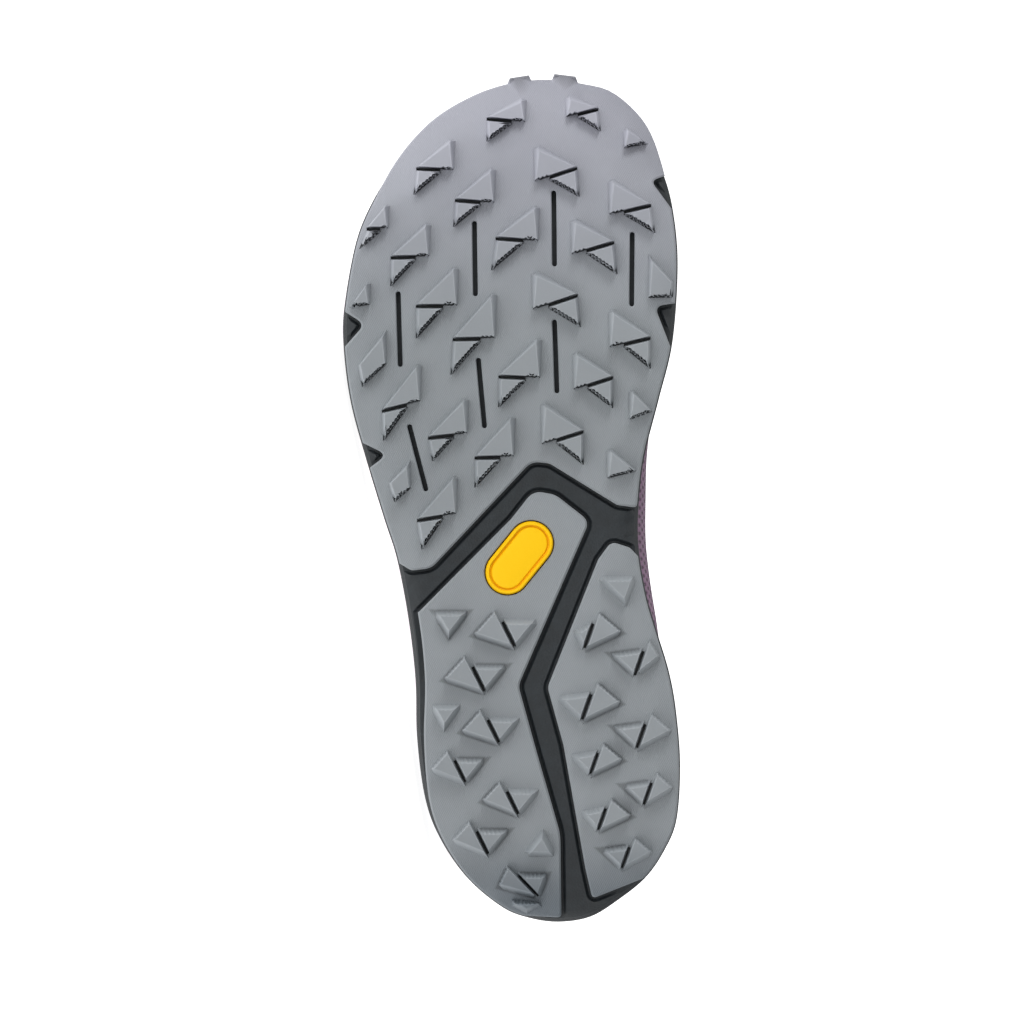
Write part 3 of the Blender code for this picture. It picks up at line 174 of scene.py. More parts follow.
# Corners of the pads where they leave the sole's edge; each is rounded to its radius
Corner = namedtuple("Corner", "along across radius")
FOREFOOT_REAR = (
    Corner(0.489, 0.372, 0.003),
    Corner(0.492, 0.314, 0.005),
    Corner(0.541, 0.112, 0.006),
    Corner(0.543, 0.058, 0.008),
    Corner(0.418, -0.240, 0.006),
    Corner(0.415, -0.300, 0.003),
)
HEEL_LATERAL_INNER = (
    Corner(0.368, -0.274, 0.002),
    Corner(0.476, -0.002, 0.010),
    Corner(0.509, 0.064, 0.006),
    Corner(0.504, 0.130, 0.007),
    Corner(0.473, 0.231, 0.004),
    Corner(0.280, 0.019, 0.006),
    Corner(0.203, 0.073, 0.020),
    Corner(0.106, 0.144, 0.020),
    Corner(0.006, 0.148, 0.0015),
)
HEEL_MEDIAL_INNER = (
    Corner(0.053, 0.392, 0.003),
    Corner(0.029, 0.240, 0.0015),
    Corner(0.065, 0.219, 0.010),
    Corner(0.211, 0.153, 0.020),
    Corner(0.278, 0.106, 0.005),
    Corner(0.428, 0.257, 0.004),
    Corner(0.449, 0.296, 0.003),
    Corner(0.442, 0.352, 0.004),
)
HEEL_LATERAL_EDGE = (0.008, 0.366)
HEEL_MEDIAL_EDGE = (0.062, 0.436)
FOREFOOT_LATERAL_EDGE = (0.420, 0.990)
FOREFOOT_MEDIAL_EDGE = (0.496, 0.990)

Slot = namedtuple("Slot", "front front_across rear rear_across")
SLOTS = (
    Slot(0.823, -0.112, 0.740, -0.109),
    Slot(0.859, 0.125, 0.775, 0.127),
    Slot(0.810, 0.359, 0.728, 0.357),
    Slot(0.740, -0.339, 0.657, -0.333),
    Slot(0.662, -0.100, 0.585, -0.082),
    Slot(0.707, 0.127, 0.626, 0.134),
    Slot(0.584, -0.305, 0.511, -0.257),
)

# Forefoot lugs, placed by the corner under the peak. The base runs outwards from it for "wide",
# ends "lift" higher, and a small triangle hangs "drop" below that end, past a sipe, its low corner
# "splay" further out. The last five columns are shares of LUG_WIDTH.
ForeLug = namedtuple("ForeLug", "along across wide tall lift drop splay")
FORE_LATERAL = (
    ForeLug(0.944, 0.040, 0.98, 0.72, 0.10, 0.53, 0.00),
    ForeLug(0.887, -0.174, 0.95, 0.90, 0.05, 0.61, 0.06),
    ForeLug(0.848, -0.052, 1.00, 1.00, 0.08, 0.62, 0.04),
    ForeLug(0.818, -0.369, 0.55, 0.72, 0.00, 0.45, 0.18),
    ForeLug(0.785, -0.246, 0.98, 0.95, -0.02, 0.67, 0.00),
    ForeLug(0.803, 0.079, 1.08, 1.00, 0.08, 0.75, 0.11),
    ForeLug(0.727, -0.162, 1.05, 1.10, 0.00, 0.76, 0.00),
    ForeLug(0.689, -0.049, 1.08, 1.25, -0.02, 0.84, 0.05),
    ForeLug(0.728, -0.424, 0.51, 0.68, -0.08, 0.00, 0.00),
    ForeLug(0.615, -0.272, 0.98, 1.06, -0.24, 0.69, -0.04),
    ForeLug(0.642, 0.085, 1.06, 1.12, 0.05, 0.72, 0.00),
    ForeLug(0.577, -0.132, 1.00, 1.00, -0.10, 0.53, -0.11),
    ForeLug(0.550, 0.007, 1.00, 1.12, -0.02, 0.70, 0.00),
    ForeLug(0.483, -0.165, 1.00, 1.06, -0.16, 0.68, -0.12),
)
FORE_MEDIAL = (
    ForeLug(0.950, 0.162, 0.82, 0.66, 0.22, 0.51, 0.06),
    ForeLug(0.913, 0.335, 0.60, 0.65, 0.12, 0.00, 0.00),
    ForeLug(0.873, 0.067, 1.08, 1.00, 0.36, 0.67, 0.06),
    ForeLug(0.834, 0.290, 1.06, 1.00, 0.25, 0.64, 0.10),
    ForeLug(0.787, 0.177, 1.08, 1.00, 0.32, 0.75, 0.08),
    ForeLug(0.722, 0.061, 1.14, 1.06, 0.38, 0.75, 0.08),
    ForeLug(0.678, 0.290, 1.04, 1.05, 0.25, 0.72, 0.00),
    ForeLug(0.628, 0.183, 1.00, 1.06, 0.33, 0.72, 0.00),
    ForeLug(0.593, 0.350, 0.58, 0.86, 0.20, 0.00, 0.00),
    ForeLug(0.564, 0.088, 1.06, 1.14, 0.34, 0.78, 0.00),
    ForeLug(0.524, 0.284, 0.72, 0.86, 0.18, 0.00, 0.00),
)

# Four-sided lugs at the forefoot's edge: inner corner at the heel side, height of the inner edge,
# and the two outer corners from that corner, front one first, in shares of LUG_WIDTH
EdgeLug = namedtuple("EdgeLug", "along across tall out_front up_front out_rear up_rear")
EDGE_LUGS = (
    EdgeLug(0.659, -0.374, 0.82, -0.72, -0.08, -0.62, -0.60),
    EdgeLug(0.513, -0.302, 0.68, -0.56, 0.08, -0.42, -0.36),
    EdgeLug(0.736, 0.406, 1.08, 0.69, 0.36, 0.68, -0.05),
)

# Heel lugs in pairs, placed by the peak of the big one; "outer" shortens its outer corner, and
# "lean" shears the pair inwards towards the heel
HeelLug = namedtuple("HeelLug", "along across size outer lean", defaults=(0,))
HEEL_LATERAL_LUGS = (
    HeelLug(0.368, -0.052, 1.00, 1.0),
    HeelLug(0.315, -0.141, 0.98, 1.0),
    HeelLug(0.252, -0.094, 0.92, 1.0),
    HeelLug(0.204, -0.192, 0.88, 0.95),
    HeelLug(0.168, -0.037, 0.92, 0.9),
    HeelLug(0.121, -0.127, 0.92, 0.9),
    HeelLug(0.068, -0.014, 0.85, 1.0, 0.45),
)
HEEL_MEDIAL_LUGS = (
    HeelLug(0.366, 0.260, 0.94, 1.0),
    HeelLug(0.334, 0.410, 0.94, 1.0),
    HeelLug(0.284, 0.255, 0.98, 1.0),
    HeelLug(0.248, 0.415, 0.92, 0.95),
    HeelLug(0.213, 0.272, 0.82, 1.0),
    HeelLug(0.178, 0.432, 0.84, 0.9),
    HeelLug(0.148, 0.296, 0.84, 1.0),
    HeelLug(0.102, 0.366, 0.82, 0.9),
)
HEEL_MEDIAL_TURN = math.radians(7)
HEEL_SPREAD = 1.0  # how far the drafts also push a heel lug's foot out

# Corners of a heel pair from its peak, towards the heel pad's outer side and the toe, in shares
# of LUG_WIDTH
HeelPair = namedtuple("HeelPair", "outer low sipe_front far_front sipe_rear")
HEEL_PAIR = HeelPair((0.55, -0.60), (-0.48, -0.94), (-0.24, -0.25), (-1.06, -0.26), (-0.55, -0.88))

# Single triangles: middle of the straight side, its length, and the point's reach to the heel
SingleLug = namedtuple("SingleLug", "along across wide drop shift")
HEEL_LATERAL_SINGLES = (
    SingleLug(0.366, -0.182, 0.82, 0.60, -0.05),
    SingleLug(0.256, -0.196, 0.70, 0.56, -0.05),
    SingleLug(0.081, 0.082, 0.74, -0.56, 0.08),
    SingleLug(0.026, 0.044, 1.05, 0.28, 0.00),
)
HEEL_MEDIAL_SINGLES = (SingleLug(0.407, 0.312, 0.92, 0.66, 0.22),)

# Lugs on the toe's own edge, seen past it: place across, width and reach as shares of LUG_WIDTH
TipLug = namedtuple("TipLug", "across wide reach")
TIP_LUGS = (TipLug(0.022, 0.60, 0.13), TipLug(0.159, 0.66, 0.15))

BADGE_PLACE = Edge(0.430, 0.022)

# Steps and ribs of the foam's side: share of its height, share of SIDE_LEAN that it is set in
Step = namedtuple("Step", "height inset")
SIDE_STEPS = (
    Step(0.00, 0.36),
    Step(0.11, 0.09),
    Step(0.20, 0.00),
    Step(0.30, 0.07),
    Step(0.35, 0.34),
    Step(0.41, 0.14),
    Step(0.55, 0.26),
    Step(0.60, 0.54),
    Step(0.66, 0.36),
    Step(0.86, 0.72),
    Step(1.00, 1.00),
)

# Sections of the last, from the back of the heel (around 0) to the tip of the toe (around 1).
# "top" columns place the edge of collar and throat, "height" is a share of the named size,
# "low" columns are how far the wall bulges past its foot in shares of BALL_WIDTH, "high" the same
# near the top, and "round" is the exponent of the wall's turn inwards: 2 leans, 1 is an ellipse,
# less is boxy.
Section = namedtuple("Section", (
    "around top_along top_lateral top_medial size height low_lateral low_medial high round"
))
SECTIONS = (
    Section(0.00, 0.020, 0.135, 0.135, HEEL_HEIGHT, 1.00, 0.045, 0.045, -0.020, 1.8),
    Section(0.10, 0.045, -0.020, 0.270, HEEL_HEIGHT, 0.97, 0.040, 0.040, -0.015, 1.8),
    Section(0.20, 0.140, -0.130, 0.375, ANKLE_HEIGHT, 1.06, 0.035, 0.030, -0.005, 1.9),
    Section(0.30, 0.255, -0.150, 0.385, ANKLE_HEIGHT, 1.02, 0.045, 0.045, 0.000, 1.9),
    Section(0.40, 0.352, -0.115, 0.300, INSTEP_HEIGHT, 0.99, 0.060, 0.085, 0.010, 1.3),
    Section(0.50, 0.440, -0.105, 0.225, INSTEP_HEIGHT, 0.97, 0.045, 0.085, 0.020, 1.0),
    Section(0.60, 0.530, -0.100, 0.170, INSTEP_HEIGHT, 0.87, 0.025, 0.045, 0.030, 0.9),
    Section(0.70, 0.605, -0.090, 0.125, INSTEP_HEIGHT, 0.77, 0.020, 0.022, 0.034, 0.8),
    Section(0.80, 0.665, -0.068, 0.090, TOE_HEIGHT, 1.07, 0.012, 0.012, 0.034, 0.7),
    Section(0.90, 0.698, -0.035, 0.056, TOE_HEIGHT, 1.02, 0.008, 0.008, 0.032, 0.62),
    Section(1.00, 0.708, 0.011, 0.011, TOE_HEIGHT, 1.00, 0.006, 0.006, 0.030, 0.60),
)

# Places of the two mounts in the shoe's axes
BALL_TREAD = np.array([0.1778, -0.0345, 0.0])
HEEL_TREAD = np.array([0.0740, 0.0290, 0.0])

# Colours, as the photo's 0 to 255 values
RUBBER_HEEL = (92, 100, 107)
RUBBER_MIDDLE = (135, 140, 144)
RUBBER_TOE = (151, 152, 162)
FOAM = (25, 31, 35)
BADGE_YELLOW = (240, 190, 0)
# the badge's deeper points take this orange: painted shade in its groove and round its edge
BADGE_ORANGE = (228, 158, 0)
MAUVE = (124, 94, 120)  # with the next two, the strips of the upper that show
MAROON = (92, 52, 66)
PALE_PINK = (198, 182, 187)
OVERLAY_GREY = (128, 129, 140)
LINING = (70, 64, 74)
LACE_GREY = (150, 140, 152)
THREAD_TAN = (150, 122, 104)
INSOLE_GREY = (86, 80, 92)
# the dark discs in the eyelets: painted shade of the holes' inside
EYELET_HOLE_SHADE = (18, 17, 20)
FLOOR_WHITE = (252, 252, 252)


def unit(vector):
    return vector / np.linalg.norm(vector)


def units(vectors):
    """Unit vectors along the last axis of an array."""
    return vectors / np.linalg.norm(vectors, axis=-1)[..., None]


def left_of(run):
    """Unit vector to the left of a heading in the plan."""
    return np.array([-run[1], run[0]]) / np.linalg.norm(run)


def shoe_axes():
    """Matrix from the shoe's axes to the frame, worked out from the two mounts."""
    mounts = {mount["name"]: mount for mount in frame["record"]["mounts"]}
    heel = np.array(mounts["heel_tread"]["pos_m"])
    ball = np.array(mounts["ball_tread"]["pos_m"])
    up = -np.array(mounts["heel_tread"]["axis"])

    def basis(forward, above):
        forward = unit(forward)
        side = unit(np.cross(above, forward))
        return np.column_stack([forward, side, np.cross(forward, side)])

    turn = basis(ball - heel, up) @ basis(BALL_TREAD - HEEL_TREAD, np.array([0, 0, 1.0])).T
    matrix = np.eye(4)
    matrix[:3, :3] = turn
    matrix[:3, 3] = heel - turn @ HEEL_TREAD
    return matrix


SHOE = shoe_axes()


def to_frame(points):
    return np.asarray(points) @ SHOE[:3, :3].T + SHOE[:3, 3]


def linear(color):
    """0 to 255 values as linear ones, with alpha."""
    share = np.asarray(color, float) / 255
    values = np.where(share <= 0.04045, share / 12.92, ((share + 0.055) / 1.055) ** 2.4)
    return (*[float(v) for v in values], 1.0)


def tone(color):
    """Linear colour as an array, to mix."""
    return np.array(linear(color)[:3])


def smooth(value, low, high):
    """0 below low, 1 above high, and a smooth step between."""
    t = np.clip((np.asarray(value, float) - low) / (high - low), 0, 1)
    return t * t * (3 - 2 * t)


def plan(points):
    """Turn (along, across) shares into metres."""
    points = np.atleast_2d(np.asarray(points, float))
    heel = HEEL_WIDTH / (HEEL_WIDTH_DRAWN * BALL_WIDTH)
    stretch = heel + (1 - heel) * smooth(points[:, 0], 0.30, 0.60)
    return np.column_stack([points[:, 0] * LENGTH, points[:, 1] * BALL_WIDTH * stretch])


def closed_curve(points, steps):
    """Smooth closed curve through the points, with so many steps from each to the next."""
    p1 = np.asarray(points, float)
    p0, p2, p3 = np.roll(p1, 1, 0), np.roll(p1, -1, 0), np.roll(p1, -2, 0)
    t = (np.arange(steps) / steps)[None, :, None]
    p0, p1, p2, p3 = (p[:, None, :] for p in (p0, p1, p2, p3))
    curve = 0.5 * (
        2 * p1
        + (p2 - p0) * t
        + (2 * p0 - 5 * p1 + 4 * p2 - p3) * t**2
        + (3 * p1 - p0 - 3 * p2 + p3) * t**3
    )
    return curve.reshape(-1, p1.shape[2])


def walked(line):
    """Length walked along an open line up to each of its points."""
    return np.concatenate([[0], np.cumsum(np.linalg.norm(np.diff(line, axis=0), axis=1))])


def along_line(line, places):
    """Points of an open line at distances from its start."""
    walk = walked(line)
    return np.column_stack([np.interp(places, walk, line[:, i]) for i in range(line.shape[1])])


EDGE_CURVE = closed_curve(plan(SOLE_EDGE), 12)
TOE_INDEX = int(EDGE_CURVE[:, 0].argmax())
LATERAL_EDGE = EDGE_CURVE[: TOE_INDEX + 1]
MEDIAL_EDGE = np.vstack([EDGE_CURVE[TOE_INDEX:], EDGE_CURVE[:1]])[::-1]


def edge_at(around):
    """Points of the sole's edge: 0 is the back of the heel, 0.5 the toe, lateral side first."""
    around = np.asarray(around, float) % 1
    lateral = along_line(LATERAL_EDGE, 2 * around * walked(LATERAL_EDGE)[-1])
    medial = along_line(MEDIAL_EDGE, 2 * (1 - around) * walked(MEDIAL_EDGE)[-1])
    return np.where((around <= 0.5)[:, None], lateral, medial)


def inward(loop):
    """Unit normals that point into a loop which runs anticlockwise."""
    tangent = units(np.roll(loop, -1, 0) - np.roll(loop, 1, 0))
    return np.column_stack([-tangent[:, 1], tangent[:, 0]])


def inset(loop, distance):
    return loop + inward(loop) * np.reshape(distance, (-1, 1))


def outset(loop, distance):
    return inset(loop, -distance)


def line_distance(points, loop):
    """How far each point lies from a closed line."""
    run = np.roll(loop, -1, 0) - loop
    squares = np.maximum((run**2).sum(axis=1), 1e-18)
    distances = []
    for block in np.array_split(points, len(points) // 4000 + 1):
        away = block[:, None] - loop
        t = np.clip((away * run).sum(axis=2) / squares, 0, 1)
        distances.append(np.linalg.norm(away - run * t[..., None], axis=2).min(axis=1))
    return np.concatenate(distances)


def edge_distance(points):
    """How far each point lies from the sole's edge."""
    return line_distance(points, EDGE_CURVE[::2])


def spring(x):
    """Rise of the last towards the toe."""
    start = SPRING_START * LENGTH
    return TOE_SPRING * np.clip((x - start) / (LENGTH - start), 0, 1) ** 2


def rise(points):
    """Height of the bottom profile over the ground plane: spring, bevel, arch and rolled edge."""
    x = points[:, 0]
    bevel = HEEL_BEVEL * np.clip((0.16 * LENGTH - x) / (0.16 * LENGTH), 0, 1) ** 2
    arch = ARCH_LIFT * smooth(x, 0.29 * LENGTH, 0.43 * LENGTH)
    arch = arch * smooth(-x, -0.60 * LENGTH, -0.46 * LENGTH)
    toe = smooth(x, 0.78 * LENGTH, 0.93 * LENGTH)
    height = EDGE_ROLL + (TOE_ROLL - EDGE_ROLL) * toe
    width = EDGE_ROLL_WIDTH + (TOE_ROLL_WIDTH - EDGE_ROLL_WIDTH) * toe
    roll = height * np.clip(1 - edge_distance(points) / width, 0, 1) ** 2
    return spring(x) + bevel + arch + roll


PAD_FACE = LUG_HEIGHT
PAD_BACK = PAD_FACE + RUBBER
FOAM_BOTTOM = PAD_BACK + SOLE_GAP


def footbed(x):
    """Height of the top of the foam, inside its rim."""
    places = np.array([0.0, 0.25, 0.68, 1.0]) * LENGTH
    foam = np.interp(x, places, [HEEL_FOAM, HEEL_FOAM, BALL_FOAM, TOE_FOAM])
    return FOAM_BOTTOM + spring(x) + foam


def lifted(points, level):
    """Points of the plan, bent to the bottom profile at a level above the lug tops."""
    return np.column_stack([points, level + rise(points)])


def inside(points, loop):
    """Which points lie inside a loop."""
    x, y = points[:, 0][:, None], points[:, 1][:, None]
    x0, y0 = loop[:, 0], loop[:, 1]
    x1, y1 = np.roll(x0, -1), np.roll(y0, -1)
    crosses = (y0 > y) != (y1 > y)
    slope = (x1 - x0) / np.where(y1 == y0, 1e-12, y1 - y0)
    return (crosses & (x < x0 + (y - y0) * slope)).sum(axis=1) % 2 == 1


def clear_of(points, loop, margin):
    """Which points keep a margin to a loop's line."""
    return line_distance(points, loop) > margin


def arc(before, here, after, radius, arc_points=7):
    """Points that round the corner here, which lies between two others."""
    to_before, to_after = before - here, after - here
    reach_before, reach_after = np.linalg.norm(to_before), np.linalg.norm(to_after)
    to_before, to_after = to_before / reach_before, to_after / reach_after
    half = 0.5 * math.acos(np.clip(to_before @ to_after, -1, 1))
    cut = min(radius / math.tan(half), 0.45 * min(reach_before, reach_after))
    start, end = here + to_before * cut, here + to_after * cut
    t = np.linspace(0, 1, arc_points)[:, None]
    return (1 - t) ** 2 * start + 2 * t * (1 - t) * here + t**2 * end


def rounded(corners):
    """Polygon with each corner turned into an arc of its radius."""
    places = plan([(c.along, c.across) for c in corners])
    arcs = [arc(*places[i - 1 : i + 2], corners[i].radius) for i in range(1, len(corners) - 1)]
    return np.vstack([places[:1], *arcs, places[-1:]])


def edge_run(side, low, high, margin, spacing=0.003):
    """Points of one side's edge from the heel end to the toe end, set in by a margin."""
    whole = inset(EDGE_CURVE, margin(EDGE_CURVE[:, 0]))
    part = whole[: TOE_INDEX + 1] if side < 0 else np.vstack([whole[TOE_INDEX:], whole[:1]])[::-1]
    part = part[(part[:, 0] >= low * LENGTH) & (part[:, 0] <= high * LENGTH)]
    count = max(2, round(walked(part)[-1] / spacing) + 1)
    return along_line(part, np.linspace(0, walked(part)[-1], count))


NOTCH_MORE = 0.0014  # of the worn notch's corner, past the drawn one
NOTCH_ROUND = 0.0026
NOTCH_CLEAR = 0.001  # of the edge's own points from a notch's ends
TIP_CLEAR = 0.001  # and from the lugs of the tip


def notched(run, notches):
    """Cut wedges into a run of edge points that goes from heel to toe."""
    for notch in notches:
        keep_rear = run[run[:, 0] < notch.rear * LENGTH - NOTCH_CLEAR]
        keep_front = run[run[:, 0] > notch.front * LENGTH + NOTCH_CLEAR]
        rear = [notch.rear * LENGTH, np.interp(notch.rear * LENGTH, run[:, 0], run[:, 1])]
        front = [notch.front * LENGTH, np.interp(notch.front * LENGTH, run[:, 0], run[:, 1])]
        deep = plan([(notch.deep, notch.deep_across)])[0]
        into = deep - 0.5 * (np.array(rear) + front)
        deep = deep + unit(into) * NOTCH_MORE
        cut = arc(rear, deep, front, NOTCH_ROUND)
        run = np.vstack([keep_rear, [rear], cut, [front], keep_front])
    return run


def plain_margin(x):
    """The pad ends short of the edge, and covers it at the toe."""
    return PAD_MARGIN * (1 - smooth(x, 0.86 * LENGTH, 0.92 * LENGTH))


def waist_margin(x):
    """The lateral heel pad leaves the edge towards the waist."""
    return PAD_MARGIN + (WAIST_MARGIN - PAD_MARGIN) * smooth(x, 0.05 * LENGTH, 0.34 * LENGTH)


def toe_line(start_y, end_y):
    """The sole's edge round the toe's tip between two places, with the lugs that pass it."""
    across = np.linspace(start_y, end_y, 60)
    tip = EDGE_CURVE[EDGE_CURVE[:, 0] > 0.95 * LENGTH]
    order = tip[:, 1].argsort()
    plain = np.column_stack([np.interp(across, tip[order, 1], tip[order, 0]), across])[1:-1]
    line = plain
    for lug in TIP_LUGS:
        middle = lug.across * BALL_WIDTH
        half = 0.5 * lug.wide * LUG_WIDTH
        ys = middle + half * np.array([-1.0, -0.8, 0.8, 1.0])
        xs = np.interp(ys, plain[:, 1], plain[:, 0])
        xs[1:3] += lug.reach * LUG_WIDTH
        line = line[np.abs(line[:, 1] - middle) >= half + TIP_CLEAR]
        line = np.vstack([line, np.column_stack([xs, ys])])
    return line[line[:, 1].argsort()]


def forefoot_outline():
    lateral = notched(edge_run(-1, *FOREFOOT_LATERAL_EDGE, plain_margin), LATERAL_NOTCHES)
    medial = notched(edge_run(1, *FOREFOOT_MEDIAL_EDGE, plain_margin), MEDIAL_NOTCHES)
    front = toe_line(lateral[-1, 1], medial[-1, 1])
    rear = rounded([row_corner(medial[0]), *FOREFOOT_REAR, row_corner(lateral[0])])[1:-1]
    return np.vstack([lateral, front, medial[::-1], rear])


def row_corner(point):
    """A point in metres as a corner row, so that rounding can start from it."""
    along = point[0] / LENGTH
    return Corner(along, point[1] / plan([(along, 1.0)])[0, 1], 0.001)


def heel_outline(inner, side, edge, margin):
    """Outline of a heel pad: a run of the sole's edge, closed by its inner corners."""
    run = edge_run(side, *edge, margin)
    run = run if side < 0 else run[::-1]
    path = [row_corner(run[-1]), *inner, row_corner(run[0])]
    return np.vstack([run, rounded(path)[1:-1]])


def anticlockwise(loop):
    x, y = loop[:, 0], loop[:, 1]
    area = (x * np.roll(y, -1) - y * np.roll(x, -1)).sum()
    return loop if area > 0 else loop[::-1]


def drafted(loop, drafts):
    """Polygon with each side moved in by its own draft; side i runs from point i to the next."""
    size = len(loop)
    lines = []
    for i in range(size):
        a, b = loop[i], loop[(i + 1) % size]
        run = unit(b - a)
        lines.append((a + np.array([-run[1], run[0]]) * drafts[i], run))
    corners = []
    for i in range(size):
        (p, r), (q, s) = lines[i - 1], lines[i]
        t = ((q[0] - p[0]) * s[1] - (q[1] - p[1]) * s[0]) / (r[0] * s[1] - r[1] * s[0])
        corners.append(p + r * t)
    return np.array(corners)


def section_rows():
    """The table of sections as places around the sole and columns of lengths in metres."""
    rows = []
    for side in (-1, 1):
        chosen = SECTIONS if side < 0 else SECTIONS[-2:0:-1]
        for row in chosen:
            around = 0.5 * row.around if side < 0 else 1 - 0.5 * row.around
            across = row.top_lateral if side < 0 else row.top_medial
            low = row.low_lateral if side < 0 else row.low_medial
            x, y = plan([(row.top_along, across)])[0]
            height = row.size * row.height
            rows.append((around, x, y, height, low * BALL_WIDTH, row.high * BALL_WIDTH, row.round))
    rows = np.array(rows)
    return rows[:, 0], rows[:, 1:]


SECTION_PLACES, SECTION_VALUES = section_rows()
FEATHER = SIDE_LEAN + RIM_WIDTH + GAP  # of the upper's foot inside the foam's widest outline


def section_at(around):
    """Smooth values of the table's columns at places around the sole."""
    around = np.asarray(around, float) % 1
    places = np.concatenate([SECTION_PLACES - 1, SECTION_PLACES, SECTION_PLACES + 1])
    values = np.vstack([SECTION_VALUES] * 3)
    slopes = np.gradient(values, places, axis=0)
    i = np.searchsorted(places, around, side="right") - 1
    span = (places[i + 1] - places[i])[:, None]
    t = (around - places[i])[:, None] / span
    a, b = values[i], values[i + 1]
    return (
        (2 * t**3 - 3 * t**2 + 1) * a
        + (t**3 - 2 * t**2 + t) * span * slopes[i]
        + (3 * t**2 - 2 * t**3) * b
        + (t**3 - t**2) * span * slopes[i + 1]
    )


RIM_UP = 0.055
RIM_CLIMB = math.sin(RIM_UP * math.pi / 2)
EDGE_STEP = 0.0005  # around the sole, to each side, for the edge's heading
FACE_STEP = 0.004  # around and up the upper, for its normal


def upper_point(around, up):
    """Points of the upper's outer face: up is 0 at its foot and 1 at the collar's edge. It
    climbs straight to RIM_UP, past the foam's rim, and bulges above."""
    around, up = np.broadcast_arrays(np.asarray(around, float), np.asarray(up, float))
    shape = around.shape
    around, up = around.ravel(), up.ravel()
    x, y, z, low, high, turn = section_at(around).T
    heading = units(edge_at(around + EDGE_STEP) - edge_at(around - EDGE_STEP))
    out = np.column_stack([heading[:, 1], -heading[:, 0]])
    foot = edge_at(around)
    foot = foot - out * (FEATHER + set_back(foot[:, :1]))
    foot_z = footbed(foot[:, 0]) + GAP
    angle = up * math.pi / 2
    climb = np.sin(angle)
    over = 1 - np.maximum(np.cos(angle), 0) ** turn
    free = np.clip((climb - RIM_CLIMB) / (1 - RIM_CLIMB), 0, 1)
    bulge = 1.5 * np.sin(math.pi * free) * ((1 - free) * low + free * high)
    flat = foot + (np.column_stack([x, y]) - foot) * over[:, None] + out * bulge[:, None]
    points = np.column_stack([flat, foot_z + (z - foot_z) * climb])
    return points.reshape(shape + (3,))


def upper_face(around, up, offset):
    """The upper's face, moved outwards by an offset."""
    around, up = np.broadcast_arrays(np.asarray(around, float), np.asarray(up, float))
    low, high = np.clip(up - FACE_STEP, 0, 0.985), np.clip(up + FACE_STEP, 0.015, 1)
    ahead = upper_point(around + FACE_STEP, up) - upper_point(around - FACE_STEP, up)
    normal = units(np.cross(ahead, upper_point(around, high) - upper_point(around, low)))
    return upper_point(around, up) + normal * np.asarray(offset)[..., None]


SHARP = math.radians(32)  # edges with a wider turn are shaded as edges


def piece(name, verts, faces, material, replaces=(), tints=None, flow=None, sharp=SHARP):
    """A mesh from points in the shoe's axes. tints are colours for its points, and flow is where
    each point lies on the cloth, in metres."""
    mesh = bpy.data.meshes.new(name)
    mesh.from_pydata(to_frame(verts).tolist(), [], [tuple(int(i) for i in f) for f in faces])
    mesh.validate()
    mesh.materials.append(material)
    if tints is not None:
        layer = mesh.color_attributes.new("tint", "FLOAT_COLOR", "POINT")
        colors = np.ones((len(verts), 4))
        colors[:, :3] = tints
        layer.data.foreach_set("color", colors.ravel())
    if flow is not None:
        layer = mesh.attributes.new("flow", "FLOAT_VECTOR", "POINT")
        layer.data.foreach_set("vector", np.asarray(flow, float).ravel())
    obj = bpy.data.objects.new(name, mesh)
    bpy.context.scene.collection.objects.link(obj)
    mesh.shade_smooth()
    mesh.set_sharp_from_angle(angle=sharp)
    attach(obj, "root")
    if replaces:
        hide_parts(*replaces)
    return obj


def grid_faces(rows, columns, wrap_rows=False, wrap_columns=False, start=0):
    """Quads over a grid of points that is stored row by row."""
    faces = []
    for i in range(rows if wrap_rows else rows - 1):
        for j in range(columns if wrap_columns else columns - 1):
            k, m = (i + 1) % rows, (j + 1) % columns
            faces.append((i * columns + j, k * columns + j, k * columns + m, i * columns + m))
    return np.array(faces) + start


def split_long(loop, spacing):
    """Closed line with points added, none further apart than the spacing."""
    result = []
    for start, end in zip(loop, np.roll(loop, -1, 0)):
        pieces = math.ceil(np.linalg.norm(end - start) / spacing - 1e-5)
        result += [start + (end - start) * i / pieces for i in range(pieces)]
    return np.array(result)


ROW_STEP = 0.87  # between rows of points that form even triangles, as a share of the spacing


